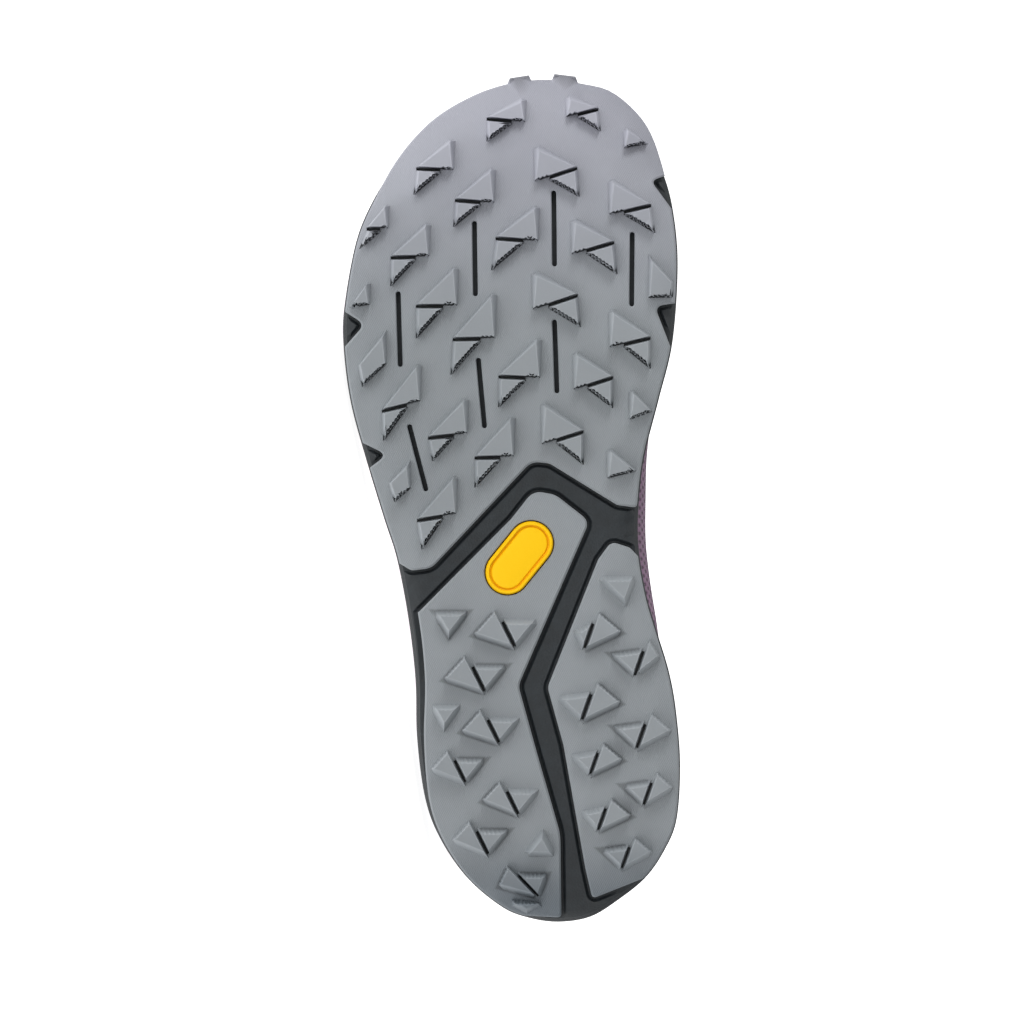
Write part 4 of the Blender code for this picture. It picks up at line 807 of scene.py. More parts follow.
def filled(loops, levels, holes, spacing, margin, inner_level=None):
    """Triangles inside the first loop and outside the next ones, as many as holes says. Each loop
    takes its level. Points are spread between the loops, a spacing apart and a margin clear of
    them, and inside the later loops too where inner_level gives their level."""
    low, high = loops[0].min(axis=0), loops[0].max(axis=0)
    rows = int((high[0] - low[0]) / (spacing * ROW_STEP)) + 1
    columns = int((high[1] - low[1]) / spacing) + 2
    row, column = np.meshgrid(np.arange(rows), np.arange(columns), indexing="ij")
    points = np.column_stack([
        (low[0] + row * spacing * ROW_STEP).ravel(),
        (low[1] + (column + 0.5 * (row % 2) - 0.5) * spacing).ravel(),
    ])
    points = points[inside(points, loops[0])]
    for number, loop in enumerate(loops):
        first, last = loop.min(axis=0) - margin, loop.max(axis=0) + margin
        near = ((points > first) & (points < last)).all(axis=1)
        keep = clear_of(points[near], loop, margin)
        if number and inner_level is None:
            keep &= ~inside(points[near], loop)
        points = np.delete(points, np.flatnonzero(near)[~keep], axis=0)
    verts = np.vstack([*loops, points])
    level = np.zeros(len(verts))
    if inner_level is not None:
        level[len(verts) - len(points) :] = inner_level(points)
    edges = []
    start = 0
    for loop, height in zip(loops, levels):
        size = len(loop)
        edges += [(start + i, start + (i + 1) % size) for i in range(size)]
        level[start : start + size] = height
        start += size
    found = geometry.delaunay_2d_cdt([Vector(v) for v in verts], edges, [], 1, 1e-7)
    flat = np.array([tuple(v) for v in found[0]])
    level = np.array([level[ids[0]] if ids else 0.0 for ids in found[3]])
    faces = np.array(found[2])
    faces = faces[inside(flat[faces].mean(axis=1), loops[0])]
    for hole in loops[1 : 1 + holes]:
        faces = faces[~inside(flat[faces].mean(axis=1), hole)]
    return flat, level, faces


def border_edges(faces):
    """Edges that only one face has, in that face's direction."""
    edges = {}
    for face in faces:
        for a, b in zip(face, np.roll(face, -1)):
            edges[(int(a), int(b))] = True
    return [(a, b) for a, b in edges if (b, a) not in edges]


# Drafts of the lugs' sides, from their foot to their top
STEEP = 0.0002
TIGHT = 0.0004
EASY = 0.0009
LUG_BEVEL = 0.00035
TOOTH = 0.00145  # pitch of the teeth cut into the lugs' steep faces
TOOTH_DEPTH = 0.00042
FINE_TOOTH_DEPTH = 0.00022
PAD_ROUND = 0.0006
GROOVE_DEPTH = 0.0014
GROOVE_MARGIN = 0.00012
TRENCH_DEPTH = 0.0006  # under the teeth
TRENCH_WIDTH = 0.0003
FACE_MARK = 1e-6  # tells a lug's face from its ridge: the face gets a little painted shade, the ridge a painted highlight
FOOT_MARK = 2e-6  # tells the foot of a heel lug, which gets painted shade, from the pad
SHADE_WIDTH = 0.0007
LOOP_SPACING = 0.002  # of the points of outlines and loops
TOOTHED = (0.03, 0.97)  # shares of a side between which it is toothed
HEEL_TOOTHED = (0.05, 0.95)

# A lug's corners, a draft for each side, its teeth, where its peak lies from the corner there, and
# how far the drafts push its foot out; the side of the teeth runs from the corner of its number
Lug = namedtuple("Lug", "points drafts teeth crest spread", defaults=(None, 0.0))
Teeth = namedtuple("Teeth", "side start end depth")


def sipe_groove(big_side, small_side):
    """Loops of the groove between two facing sides, each given as its two ends in one direction. The
    groove's deep loop gets painted shade.
    """
    corners = anticlockwise(np.array([*big_side, *small_side[::-1]]))
    loops = []
    for margin, level in ((GROOVE_MARGIN, 0.0), (2 * GROOVE_MARGIN, GROOVE_DEPTH)):
        loops.append((split_long(drafted(corners, [margin] * 4), LOOP_SPACING), level))
    return loops


def fore_lugs(rows, side):
    """Big and small triangles of the forefoot; side is -1 where the base runs laterally."""
    for row in rows:
        corner = plan([(row.along, row.across)])[0]
        peak = corner + (row.tall * LUG_WIDTH, -side * PEAK_LEAN)
        far = corner + (row.lift * LUG_WIDTH, side * row.wide * LUG_WIDTH)
        teeth = Teeth(2, SMALL_LUG if row.drop else TOOTHED[0], TOOTHED[1], TOOTH_DEPTH)
        yield Lug([corner, peak, far], [TIGHT, TIGHT, STEEP], teeth, (-PEAK_BACK, side * PEAK_IN))
        if row.drop:
            start = far - (SIPE_WIDTH, 0)
            inner = start + (corner - far) * SMALL_LUG
            low = start + (-row.drop * LUG_WIDTH, side * row.splay * LUG_WIDTH)
            yield Lug([inner, start, low], [STEEP, EASY, STEEP], Teeth(2, *TOOTHED, TOOTH_DEPTH))
            yield sipe_groove((far, far + (corner - far) * SMALL_LUG), (start, inner))


def edge_lugs():
    """Four-sided lugs of the forefoot's edge."""
    for row in EDGE_LUGS:
        corner = plan([(row.along, row.across)])[0]
        peak = corner + (row.tall * LUG_WIDTH, 0)
        front = corner + (row.up_front * LUG_WIDTH, row.out_front * LUG_WIDTH)
        rear = corner + (row.up_rear * LUG_WIDTH, row.out_rear * LUG_WIDTH)
        teeth = Teeth(3, *TOOTHED, TOOTH_DEPTH)
        crest = (-0.8 * PEAK_BACK, math.copysign(0.6 * PEAK_IN, row.out_front))
        yield Lug([corner, peak, front, rear], [TIGHT, TIGHT, EASY, STEEP], teeth, crest)


def turned(vector, angle):
    """(across, along) shares of LUG_WIDTH, turned, as an (x, y) offset in metres."""
    across, along = vector
    c, s = math.cos(angle), math.sin(angle)
    return np.array([along * c + across * s, across * c - along * s]) * LUG_WIDTH


def heel_lug(points, drafts):
    return Lug(points, drafts, Teeth(0, *HEEL_TOOTHED, FINE_TOOTH_DEPTH), None, HEEL_SPREAD)


def heel_lugs(rows, side, turn):
    """Pairs of the heel; side is -1 on the lateral pad, where the big one's outer corner is
    lateral."""
    for row in rows:
        peak = plan([(row.along, row.across)])[0]
        corners = {}
        for name, (out, up) in HEEL_PAIR._asdict().items():
            reach = row.size * (row.outer if name == "outer" else 1)
            corners[name] = peak + turned((side * (out + row.lean * up) * reach, up * reach), turn)
        yield heel_lug([peak, corners["outer"], corners["low"]], [TIGHT, EASY, STEEP])
        sipe = corners["sipe_front"], corners["sipe_rear"]
        yield heel_lug([sipe[0], corners["far_front"], sipe[1]], [EASY, EASY, STEEP])
        run = corners["low"] - peak
        yield sipe_groove([peak + run * ((end - peak) @ run / (run @ run)) for end in sipe], sipe)


def single_lugs(rows):
    """Triangles of the heel that stand alone."""
    for row in rows:
        middle = plan([(row.along, row.across)])[0]
        half = 0.5 * row.wide * LUG_WIDTH
        point = middle + (-row.drop * LUG_WIDTH, row.shift * LUG_WIDTH)
        yield heel_lug([middle - (0, half), middle + (0, half), point], [EASY, EASY, EASY])


SIDE_SPACING = 0.003  # of the points along a lug's plain sides


def lug_line(corners, teeth):
    """Closed line through the corners of a lug, with the teeth cut into one side."""
    line = []
    for i, here in enumerate(corners):
        there = corners[(i + 1) % len(corners)]
        run = there - here
        length = np.linalg.norm(run)
        if i == teeth.side:
            count = 2 * max(1, round(length * (teeth.end - teeth.start) / TOOTH))
            shares = np.linspace(teeth.start, teeth.end, count + 1)
            cuts = teeth.depth * (np.arange(count + 1) % 2)
            line.append(here)
            line += [here + run * s + left_of(run) * c for s, c in zip(shares, cuts) if s > 0]
        else:
            pieces = max(1, math.ceil(length / SIDE_SPACING))
            line += [here + run * k / pieces for k in range(pieces)]
    return np.array(line)


STRIP_END = 1.4  # outer side of a marking strip, as a share of its inner side's distance


def halo(foot, drafts):
    """Loop round a lug's sloping sides, where the painted shade of its foot ends. The last side
    may be steep, and is left out then."""
    shares = [float(draft > 1.5 * STEEP) for draft in drafts]
    near = drafted(foot, [-SHADE_WIDTH * share for share in shares])
    if all(shares):
        return split_long(near, LOOP_SPACING)
    far = drafted(foot, [-STRIP_END * SHADE_WIDTH * share for share in shares])
    return split_long(anticlockwise(np.vstack([near, far[::-1]])), LOOP_SPACING)


def edge_strip(start, end, gap):
    """Thin loop beside a lug's toothed side, so that the painted shade of the teeth ends there."""
    out = -left_of(end - start) * gap
    corners = np.array([start + out, end + out, end + STRIP_END * out, start + STRIP_END * out])
    return split_long(anticlockwise(corners), LOOP_SPACING)


def oriented(lug):
    """A lug's corners in anticlockwise order, the drafts and teeth that go with them, and the
    number of the peak's corner. The last side stays the last."""
    points, drafts, teeth = np.asarray(lug.points, float), list(lug.drafts), lug.teeth
    if anticlockwise(points) is points:
        return points, drafts, teeth, 1
    last = len(points) - 1
    side = last - 1 - teeth.side if teeth.side < last else last
    teeth = Teeth(side, 1 - teeth.end, 1 - teeth.start, teeth.depth)
    return points[::-1], [*drafts[:-1][::-1], drafts[-1]], teeth, last - 1


def drawn_in(corners, middle, border):
    """Corners drawn towards a middle until they lie inside the pad's border."""
    result = []
    for corner in corners:
        share = 1.0
        while share > 0.3 and not inside((middle + (corner - middle) * share)[None], border)[0]:
            share -= 0.02
        result.append(middle + (corner - middle) * share)
    return np.array(result)


def trench(line, foot, teeth):
    """Levels along a lug's foot, which sinks under the teeth and there gets painted shade from
    its depth, and the strip where that ends.
    """
    start, end = foot[teeth.side], foot[(teeth.side + 1) % len(foot)]
    run = end - start
    share = (line - start) @ run / (run @ run)
    toothed = (share > teeth.start - 1e-6) & (share < teeth.end + 1e-6)
    toothed &= (line - start) @ left_of(run) < 1.5 * teeth.depth
    strip = edge_strip(start + run * teeth.start, start + run * teeth.end, TRENCH_WIDTH)
    return np.where(toothed, TRENCH_DEPTH, 0.0), [strip]


def shaded_foot(line, foot, drafts, border):
    """Marks along a lug's foot, which gets painted shade except at a steep last side, and the strip
    where that painted shade ends. There are none where the strip would leave the pad."""
    strip = halo(foot, drafts)
    if not inside(strip, border).all():
        return np.zeros(len(line)), []
    reach = 1.5 * TIGHT if drafts[-1] < 1.5 * STEEP else 0.0
    last_side = (line - foot[-1]) @ left_of(foot[0] - foot[-1]) < reach
    return np.where(last_side, 0.0, FOOT_MARK), [strip]


def lug_loops(lug, border):
    """Loops of a lug at the pad, under its bevel and on its top, kept inside the pad's border."""
    points, drafts, teeth, peak = oriented(lug)
    more = [lug.spread * (draft - STEEP) for draft in drafts]
    middle = drafted(points, drafts).mean(axis=0)
    foot = drawn_in(drafted(points, [-d for d in more]), middle, border)
    drafts = [draft + d for draft, d in zip(drafts, more)]
    crest, top, face = (drafted(foot, [d + s * LUG_BEVEL for d in drafts]) for s in (0, 0.5, 1.4))
    if lug.crest is not None:
        shift = foot[peak] + lug.crest - crest[peak]
        for corners in (crest, top, face):
            corners[peak] += shift
    under = crest + (foot - crest) * LUG_BEVEL / LUG_HEIGHT
    lines = [lug_line(corners, teeth) for corners in (foot, under, top, face)]
    if lug.spread:
        low, strips = shaded_foot(lines[0], foot, drafts, border)
    else:
        low, strips = trench(lines[0], foot, teeth)
    levels = (low, LUG_BEVEL - LUG_HEIGHT, -LUG_HEIGHT, -LUG_HEIGHT - FACE_MARK)
    return [*zip(lines, levels), *((strip, 0.0) for strip in strips)]


# Painted light and shade in the rubber's colour, as shares: painted shade at the feet of heel lugs and
# on the lugs of the tip, on the lugs' top faces and in the grooves and trenches, and a painted
# highlight along the lugs' ridges
FOOT_SHADE = 0.42
FACE_SHADE = 0.07
GROOVE_SHADE = 0.88
RIDGE_HIGHLIGHT = 0.16
TIP_FROM = 0.9930  # share of the length from which the lugs of the tip get painted shade


def on_tip_lug(points):
    """Which points belong to the lugs on the toe's own edge."""
    found = np.zeros(len(points), bool)
    for lug in TIP_LUGS:
        found |= np.abs(points[:, 1] - lug.across * BALL_WIDTH) < 0.5 * lug.wide * LUG_WIDTH
    return found & (points[:, 0] > TIP_FROM * LENGTH)


def rubber_tint(points, level):
    """Rubber grows lighter and a little violet towards the toe. Painted shade darkens the sipe
    grooves, the trenches under the teeth, the feet of heel lugs, the lugs of the tip and, a little,
    the lugs' top faces; a painted highlight lightens the ridges of the lugs."""
    along = points[:, 0] / LENGTH
    heel, middle, toe = map(tone, (RUBBER_HEEL, RUBBER_MIDDLE, RUBBER_TOE))
    front = smooth(along, 0.66, 1.0)[:, None]
    back = smooth(-along, -0.12, 0.0)[:, None]
    tint = middle + (toe - middle) * front + (heel - middle) * back
    face = level < -LUG_HEIGHT - 0.5 * FACE_MARK
    ridge = (level < 1.5 * LUG_BEVEL - LUG_HEIGHT) & ~face
    deep = smooth(level, 0.5 * TRENCH_DEPTH, TRENCH_DEPTH)
    foot = (np.abs(level - FOOT_MARK) < 0.5 * FOOT_MARK) | on_tip_lug(points)
    light = (1 - FOOT_SHADE * foot) * (1 - FACE_SHADE * face)
    light = light * (1 + RIDGE_HIGHLIGHT * ridge) * (1 - GROOVE_SHADE * deep)
    return tint * light[:, None]


def slab(flat, level, faces):
    """Points and faces of a pad from its lit face, with walls round it and an open back."""
    count = len(flat)
    verts = np.vstack([lifted(flat, PAD_FACE + level), lifted(flat, PAD_BACK)])
    walls = [(b + count, a + count, a, b) for a, b in border_edges(faces)]
    return verts, [tuple(face[::-1]) for face in faces] + walls


LUG_CLEAR = 0.0007  # of the lugs' loops from a pad's edge
MARK_CLEAR = 0.0012  # of the lugs' feet with painted shade from it
EDGE_CLEAR = 0.0002  # within which a point is on the edge itself
HOLE_SPACING = 0.0015  # of the points round a hole, and over the badge
PAD_SPACING = 0.0024  # of the points between a pad's loops
PAD_CLEAR = 0.0005  # of those points from the loops


def fine_pad(name, outline, holes, lugs, material):
    """Rubber pad with rounded edges, its slots and its lugs."""
    outline = split_long(anticlockwise(outline), LOOP_SPACING)
    holes = [split_long(anticlockwise(hole), HOLE_SPACING) for hole in holes]
    border = inset(outline, LUG_CLEAR)
    loops = [outline, *holes, inset(outline, PAD_ROUND)]
    levels = [PAD_ROUND] + [0.5 * PAD_ROUND] * len(holes) + [0.0]
    for hole in holes:
        loops.append(outset(hole, 0.5 * PAD_ROUND))
        levels.append(0.0)
    for row in lugs:
        found = lug_loops(row, border) if isinstance(row, Lug) else row
        loops += [loop for loop, _ in found]
        levels += [height for _, height in found]
    flat, level, faces = filled(loops, levels, len(holes), PAD_SPACING, PAD_CLEAR)
    verts, faces = slab(flat, level, faces)
    count = len(flat)
    # The levels carry the painted shade and highlights into the tint: none on the pad's edge, and no
    # painted foot shade near it
    marked = np.concatenate([level * clear_of(flat, outline, EDGE_CLEAR), np.zeros(count)])
    marked[:count][(level == FOOT_MARK) & ~clear_of(flat, outline, MARK_CLEAR)] = 0.0
    tints = rubber_tint(verts, marked)
    pad = piece(name + "_rubber", verts, faces, material, [name], tints)
    hatched = np.concatenate([np.abs(level) < 1e-5, np.zeros(count)])
    layer = pad.data.attributes.new("hatched", "FLOAT", "POINT")
    layer.data.foreach_set("value", hatched.astype(float))


def slot_loop(row):
    """Long slot with round ends."""
    ends = plan([(row.front, row.front_across), (row.rear, row.rear_across)])
    run = ends[1] - ends[0]
    heading = math.atan2(run[1], run[0])
    loop = []
    for end, start in ((ends[1], heading - math.pi / 2), (ends[0], heading + math.pi / 2)):
        for angle in start + np.linspace(0, math.pi, 9):
            loop.append(end + 0.5 * SLOT_WIDTH * np.array([math.cos(angle), math.sin(angle)]))
    return np.array(loop)


def pill(length, width, points_per_end=24):
    """Pill outline round the badge's place, long axis tilted from the shoe's own."""
    middle = plan([BADGE_PLACE])[0]
    radius = 0.5 * width
    axis = np.array([math.cos(BADGE_TILT), math.sin(BADGE_TILT)])
    loop = []
    for sign in (1, -1):
        centre = middle + axis * sign * (0.5 * length - radius)
        base = BADGE_TILT if sign > 0 else BADGE_TILT + math.pi
        for turn in np.linspace(-math.pi / 2, math.pi / 2, points_per_end):
            loop.append(centre + radius * np.array([math.cos(base + turn), math.sin(base + turn)]))
    return np.array(loop)


def pad_outlines():
    lateral = heel_outline(HEEL_LATERAL_INNER, -1, HEEL_LATERAL_EDGE, waist_margin)
    medial = heel_outline(HEEL_MEDIAL_INNER, 1, HEEL_MEDIAL_EDGE, plain_margin)
    return forefoot_outline(), lateral, medial


def build_outsole():
    rubber = rubber_material()
    forefoot, lateral, medial = pad_outlines()
    lugs = [*fore_lugs(FORE_LATERAL, -1), *fore_lugs(FORE_MEDIAL, 1), *edge_lugs()]
    fine_pad("outsole_forefoot", forefoot, [slot_loop(row) for row in SLOTS], lugs, rubber)
    lugs = [*heel_lugs(HEEL_LATERAL_LUGS, -1, 0), *single_lugs(HEEL_LATERAL_SINGLES)]
    hole = pill(BADGE_LENGTH + 2 * GAP, BADGE_WIDTH + 2 * GAP)
    fine_pad("outsole_heel_lateral", lateral, [hole], lugs, rubber)
    lugs = [*heel_lugs(HEEL_MEDIAL_LUGS, 1, HEEL_MEDIAL_TURN), *single_lugs(HEEL_MEDIAL_SINGLES)]
    fine_pad("outsole_heel_medial", medial, [], lugs, rubber)


BADGE_PROUD = 0.0004  # of the badge's rim over its pad
BADGE_DEPTH = 0.0012  # that a drop of 1 means
BADGE_CLEAR = 0.0003  # of the points over the badge from its loops
# The badge's profile from its edge inwards: how far in, in rims, and how deep
BADGE_STEPS = (
    (0.0, 0.9), (0.25, 0.25), (0.6, 0.0), (1.3, 0.0), (1.6, 0.6), (2.0, 0.75), (2.5, 0.3), (4.0, 0.15),
)


def build_badge():
    """Yellow inlay: a rounded rim, a groove inside it and a flat middle. Its deeper points turn
    orange with painted shade.
    """
    loops, levels = [], []
    for rims, drop in BADGE_STEPS:
        loops.append(pill(BADGE_LENGTH - 2 * rims * BADGE_RIM, BADGE_WIDTH - 2 * rims * BADGE_RIM))
        levels.append(BADGE_DEPTH * drop - BADGE_PROUD)
    flat, level, faces = filled(loops, levels, 0, HOLE_SPACING, BADGE_CLEAR)
    level[level == 0] = levels[-1]
    verts, faces = slab(flat, level, faces)
    # Deeper points turn orange: painted shade in the groove and round the edge
    deep = smooth(np.concatenate([level, np.zeros(len(flat))]), 0.0001, 0.0005)[:, None]
    tints = tone(BADGE_YELLOW) + (tone(BADGE_ORANGE) - tone(BADGE_YELLOW)) * deep
    piece("badge_inlay", verts, faces, badge_material(), ["badge"], tints)


def set_back(x):
    """How far the foam stays inside the sole's edge, round the toe."""
    return TOE_SETBACK * smooth(x, 0.84 * LENGTH, 0.92 * LENGTH)


def foam_edge(count):
    """The foam's widest outline."""
    edge = edge_at(np.arange(count) / count)
    return inset(edge, set_back(edge[:, 0]))


# The foam's ridge between the pads: the low strip beside a pad, where its crest starts, its rise
CHANNEL_MOAT = 0.0008
CHANNEL_CREST = 0.0017
CHANNEL_RISE = 0.0016
CHANNEL_ENDS = (0.001, 0.0035)  # from the sole's edge, between which the ridge rises
RIBS = 11
RIB_DEPTH = 0.00018
STEP_ROUND = 0.02  # of the side's height
# Points spread over the foam's underside and over footbeds: their spacing, and how far from loops
FOAM_SPACING = 0.0035
FOAM_CLEAR = 0.0007
FOOTBED_SPACING = 0.006
FOOTBED_CLEAR = 0.002


def side_inset(height):
    """How far the foam's side lies inside the sole's edge, in metres, at shares of its height:
    the part's steps, rounded, with fine ribs."""
    heights = np.array([step.height for step in SIDE_STEPS])
    insets = np.array([step.inset for step in SIDE_STEPS])
    soft = np.zeros_like(height)
    for shift in (-STEP_ROUND, 0, STEP_ROUND):
        soft += np.interp(height + shift, heights, insets) / 3
    ribbed = smooth(height, 0.60, 0.70) * smooth(-height, -0.95, -0.86)
    return soft * SIDE_LEAN + RIB_DEPTH * np.sin(height * 2 * math.pi * RIBS) * ribbed


def foam_rings(edge):
    """Rings of points up the foam's side and over its rim, to the footbed's edge."""
    heights = np.linspace(0, 1, 46)
    insets = side_inset(heights)
    bottom_z = lifted(inset(edge, insets[0]), FOAM_BOTTOM)[:, 2]
    top_z = footbed(edge[:, 0]) + RIM_HEIGHT
    rings = []
    for height, distance in zip(heights, insets):
        rings.append(np.column_stack([inset(edge, distance), bottom_z + (top_z - bottom_z) * height]))
    for share, over in ((0.35, 0.0003), (0.75, -0.0002)):
        rings.append(np.column_stack([inset(edge, SIDE_LEAN + share * RIM_WIDTH), top_z + over]))
    inner = inset(edge, SIDE_LEAN + RIM_WIDTH)
    rings.append(np.column_stack([inner, footbed(inner[:, 0])]))
    return rings


def foam_bottom(border):
    """Underside of the foam within a border, with the ridge that runs between the pads."""
    outlines = [split_long(anticlockwise(line), LOOP_SPACING) for line in pad_outlines()]
    loops, levels = [border], [0.0]
    for line in outlines:
        loops += [outset(line, CHANNEL_MOAT), outset(line, CHANNEL_CREST)]
        levels += [0.0, -CHANNEL_RISE]

    def level_at(points):
        within = np.zeros(len(points), bool)
        for line in outlines:
            within |= inside(points, outset(line, CHANNEL_MOAT))
        return np.where(within, 0.0, -CHANNEL_RISE * smooth(edge_distance(points), *CHANNEL_ENDS))

    flat, level, faces = filled(loops, levels, 0, FOAM_SPACING, FOAM_CLEAR, level_at)
    level *= smooth(edge_distance(flat), *CHANNEL_ENDS)
    return lifted(flat, FOAM_BOTTOM + level), faces[:, ::-1]


def build_midsole():
    """Foam with its ribbed side, its rim, its footbed and its underside."""
    around = 360
    rings = foam_rings(foam_edge(around))
    bottom, bottom_faces = foam_bottom(rings[0][:, :2])
    top, _, top_faces = filled([rings[-1][:, :2]], [0.0], 0, FOOTBED_SPACING, FOOTBED_CLEAR)
    start = len(rings) * around
    verts = np.vstack([*rings, bottom, np.column_stack([top, footbed(top[:, 0])])])
    faces = [*grid_faces(len(rings), around, wrap_columns=True), *(bottom_faces + start),
             *(top_faces + start + len(bottom))]
    piece("midsole_foam", verts, faces, foam_material(), ["midsole"])


# The insole's profile from its foot: how far in, in metres, and the share of its thickness
INSOLE_STEPS = ((0.0006, 0), (0.0, 0.25), (0.0, 0.75), (0.0006, 1), (0.004, 1.05), (0.010, 0.95))


def build_insole():
    """Loose footbed with a rolled rim and a slightly sunk middle."""
    around = 240
    outline = inset(foam_edge(around), FEATHER + UPPER_WALL + INSOLE_PLAY)
    rings = []
    for distance, height in INSOLE_STEPS:
        line = inset(outline, distance)
        rings.append(np.column_stack([line, footbed(line[:, 0]) + GAP + INSOLE * height]))
    flat, _, faces = filled([line], [0.0], 0, FOOTBED_SPACING, FOOTBED_CLEAR)
    start = len(rings) * around
    top = np.column_stack([flat, footbed(flat[:, 0]) + GAP + INSOLE * height])
    verts = np.vstack([*rings, top])
    faces = [*grid_faces(len(rings), around, wrap_columns=True), *(faces + start)]
    piece("insole_footbed", verts, faces, insole_material(), ["insole"])


COLLAR_PAD = 0.0032
COLLAR_FULLNESS = 0.0011
ROUND_FROM = 0.965  # share of the wall's climb from which its edge turns over
UPPER_RISE = 0.105  # of the mesh's weave from foot to collar, in metres

# Creases worn into the vamp by flexing: ends in the plan's shares, depth and half width in metres
Crease = namedtuple("Crease", "along across to_along to_across depth width")
CREASES = (
    Crease(0.735, -0.36, 0.760, 0.30, 0.0015, 0.0050),
    Crease(0.700, -0.40, 0.690, -0.12, 0.0017, 0.0045),
    Crease(0.700, 0.36, 0.700, 0.14, 0.0017, 0.0045),
    Crease(0.640, -0.44, 0.600, -0.20, 0.0013, 0.0055),
    Crease(0.640, 0.42, 0.610, 0.22, 0.0013, 0.0055),
    Crease(0.250, -0.36, 0.330, -0.20, 0.0012, 0.0070),
    Crease(0.240, 0.52, 0.320, 0.40, 0.0012, 0.0070),
)


def crease_depth(points):
    """How far the creases press the upper in at places of the plan."""
    depth = np.zeros(len(points))
    for row in CREASES:
        start, end = plan([(row.along, row.across), (row.to_along, row.to_across)])
        run = end - start
        t = np.clip(((points - start) @ run) / (run @ run), 0, 1)
        bow = 0.004 * np.sin(math.pi * t)[:, None] * np.array([1.0, 0.0])
        away = np.linalg.norm(points - start - t[:, None] * run - bow, axis=1)
        fade = np.sin(math.pi * np.clip(t, 0.02, 0.98)) ** 0.5
        depth += row.depth * fade * np.exp(-((away / row.width) ** 2))
        depth -= 0.45 * row.depth * fade * np.exp(-(((away - 2 * row.width) / row.width) ** 2))
    return depth


def collar_share(around):
    """1 along the padded collar and 0 along the throat."""
    distance = np.minimum(around % 1, 1 - around % 1)
    return 1 - smooth(distance, 0.17, 0.215)


def wall_at(around, up):
    """Thickness of the upper's wall: it swells into a pad under the collar's edge."""
    return UPPER_WALL + COLLAR_PAD * collar_share(around) * smooth(up, 0.62, 0.86)


def skin(around, up, lift=0.0):
    """Points of the dressed upper's outside: the last's shape with the padded collar's fullness,
    and the creases."""
    around, up = np.broadcast_arrays(np.asarray(around, float), np.asarray(up, float))
    shape = around.shape
    around, up = around.ravel(), up.ravel()
    swell = np.sin(math.pi * np.clip((up - 0.66) / 0.34, 0, 1))
    full = COLLAR_FULLNESS * collar_share(around) * swell
    press = crease_depth(upper_point(around, up)[:, :2]) * smooth(up, 0.15, 0.35)
    points = upper_face(around, up, full - press + np.broadcast_to(lift, shape).ravel())
    return points.reshape(shape + (3,))


def upper_tint(around, up):
    """Mauve mesh, maroon towards the heel, and a pale panel along the little-toe side."""
    around, up = np.broadcast_arrays(around, up)
    mauve, maroon, pale = map(tone, (MAUVE, MAROON, PALE_PINK))
    distance = np.minimum(around % 1, 1 - around % 1)
    heel = (1 - smooth(distance, 0.06, 0.20))[..., None]
    lateral = smooth(around, 0.13, 0.17) * smooth(-around, -0.33, -0.28)
    panel = (lateral * smooth(-up, -0.62, -0.30))[..., None]
    tint = mauve + (maroon - mauve) * heel
    return tint + (pale - tint) * panel


def build_upper():
    """Outside, rounded edge and lining of the upper, in one shell of real thickness."""
    count = 420
    around = np.arange(count) / count
    rows, flow, tints = [], [], []
    lengths = walked(edge_at(around))
    lining = tone(LINING)

    def add(climb, points, tint):
        rows.append(points)
        flow.append(np.column_stack([lengths, np.full(count, climb * UPPER_RISE), np.zeros(count)]))
        tints.append(np.broadcast_to(tint, (count, 3)))

    for up in np.linspace(0, ROUND_FROM, 84):
        add(up, skin(around, up), upper_tint(around, up))
    half = 0.5 * wall_at(around, 1.0)
    for angle in np.linspace(0, math.pi, 13)[1:-1]:
        up = ROUND_FROM + (1 - ROUND_FROM) * math.sin(angle)
        share = smooth(angle, 0.3 * math.pi, 0.5 * math.pi)
        tint = upper_tint(around, up) * (1 - share) + lining * share
        add(1.0 + 0.02 * math.cos(angle), skin(around, up, -half * (1 - math.cos(angle))), tint)
    for up in np.linspace(ROUND_FROM, 0, 50):
        add(1.1 - up, skin(around, up, -wall_at(around, up)), lining)
    rows[-1] = np.column_stack([rows[-1][:, :2], rows[0][:, 2]])
    verts = np.vstack(rows)
    faces = grid_faces(len(rows), count, wrap_rows=True, wrap_columns=True)
    piece("upper_shell", verts, faces[:, ::-1], mesh_material(), ["upper"],
          np.vstack(tints), np.vstack(flow), math.radians(60))


BAND_ROUND = 0.010  # of a band's long edges, as a share of the way up the upper
BAND_SUNK = 0.0004  # of a band's back in the upper's skin


def band(name, node_name, around, low, high, thick, film):
    """A moulded overlay with rounded edges, between two lines around the upper."""
    lows = np.array([low(a) for a in around])
    highs = np.array([high(a) for a in around])
    columns = len(around)
    taper = smooth(np.minimum(np.arange(columns), np.arange(columns)[::-1]), -1, 4)
    turns = [(BAND_ROUND * (1 - math.cos(a)), math.sin(a)) for a in np.linspace(0, math.pi / 2, 5)]
    profile = [(0.0, shift, height) for shift, height in turns]
    profile += [(share, 0.0, 1.0) for share in np.linspace(0, 1, 22)[1:-1]]
    profile += [(1.0, -shift, height) for shift, height in turns[::-1]]
    rows = []
    for share, shift, height in profile:
        rows.append(skin(around, lows + (highs - lows) * share + shift, thick * height * taper))
    for share in np.linspace(1, 0, 10):
        rows.append(skin(around, lows + (highs - lows) * share, -BAND_SUNK))
    verts = np.vstack(rows)
    starts = np.arange(len(rows)) * columns
    faces = [tuple(f)[::-1] for f in grid_faces(len(rows), columns, wrap_rows=True)]
    faces += [tuple(starts)[::-1], tuple(starts + columns - 1)]
    tints = np.broadcast_to(tone(OVERLAY_GREY), (len(verts), 3))
    piece(name, verts, faces, film, [node_name], tints)


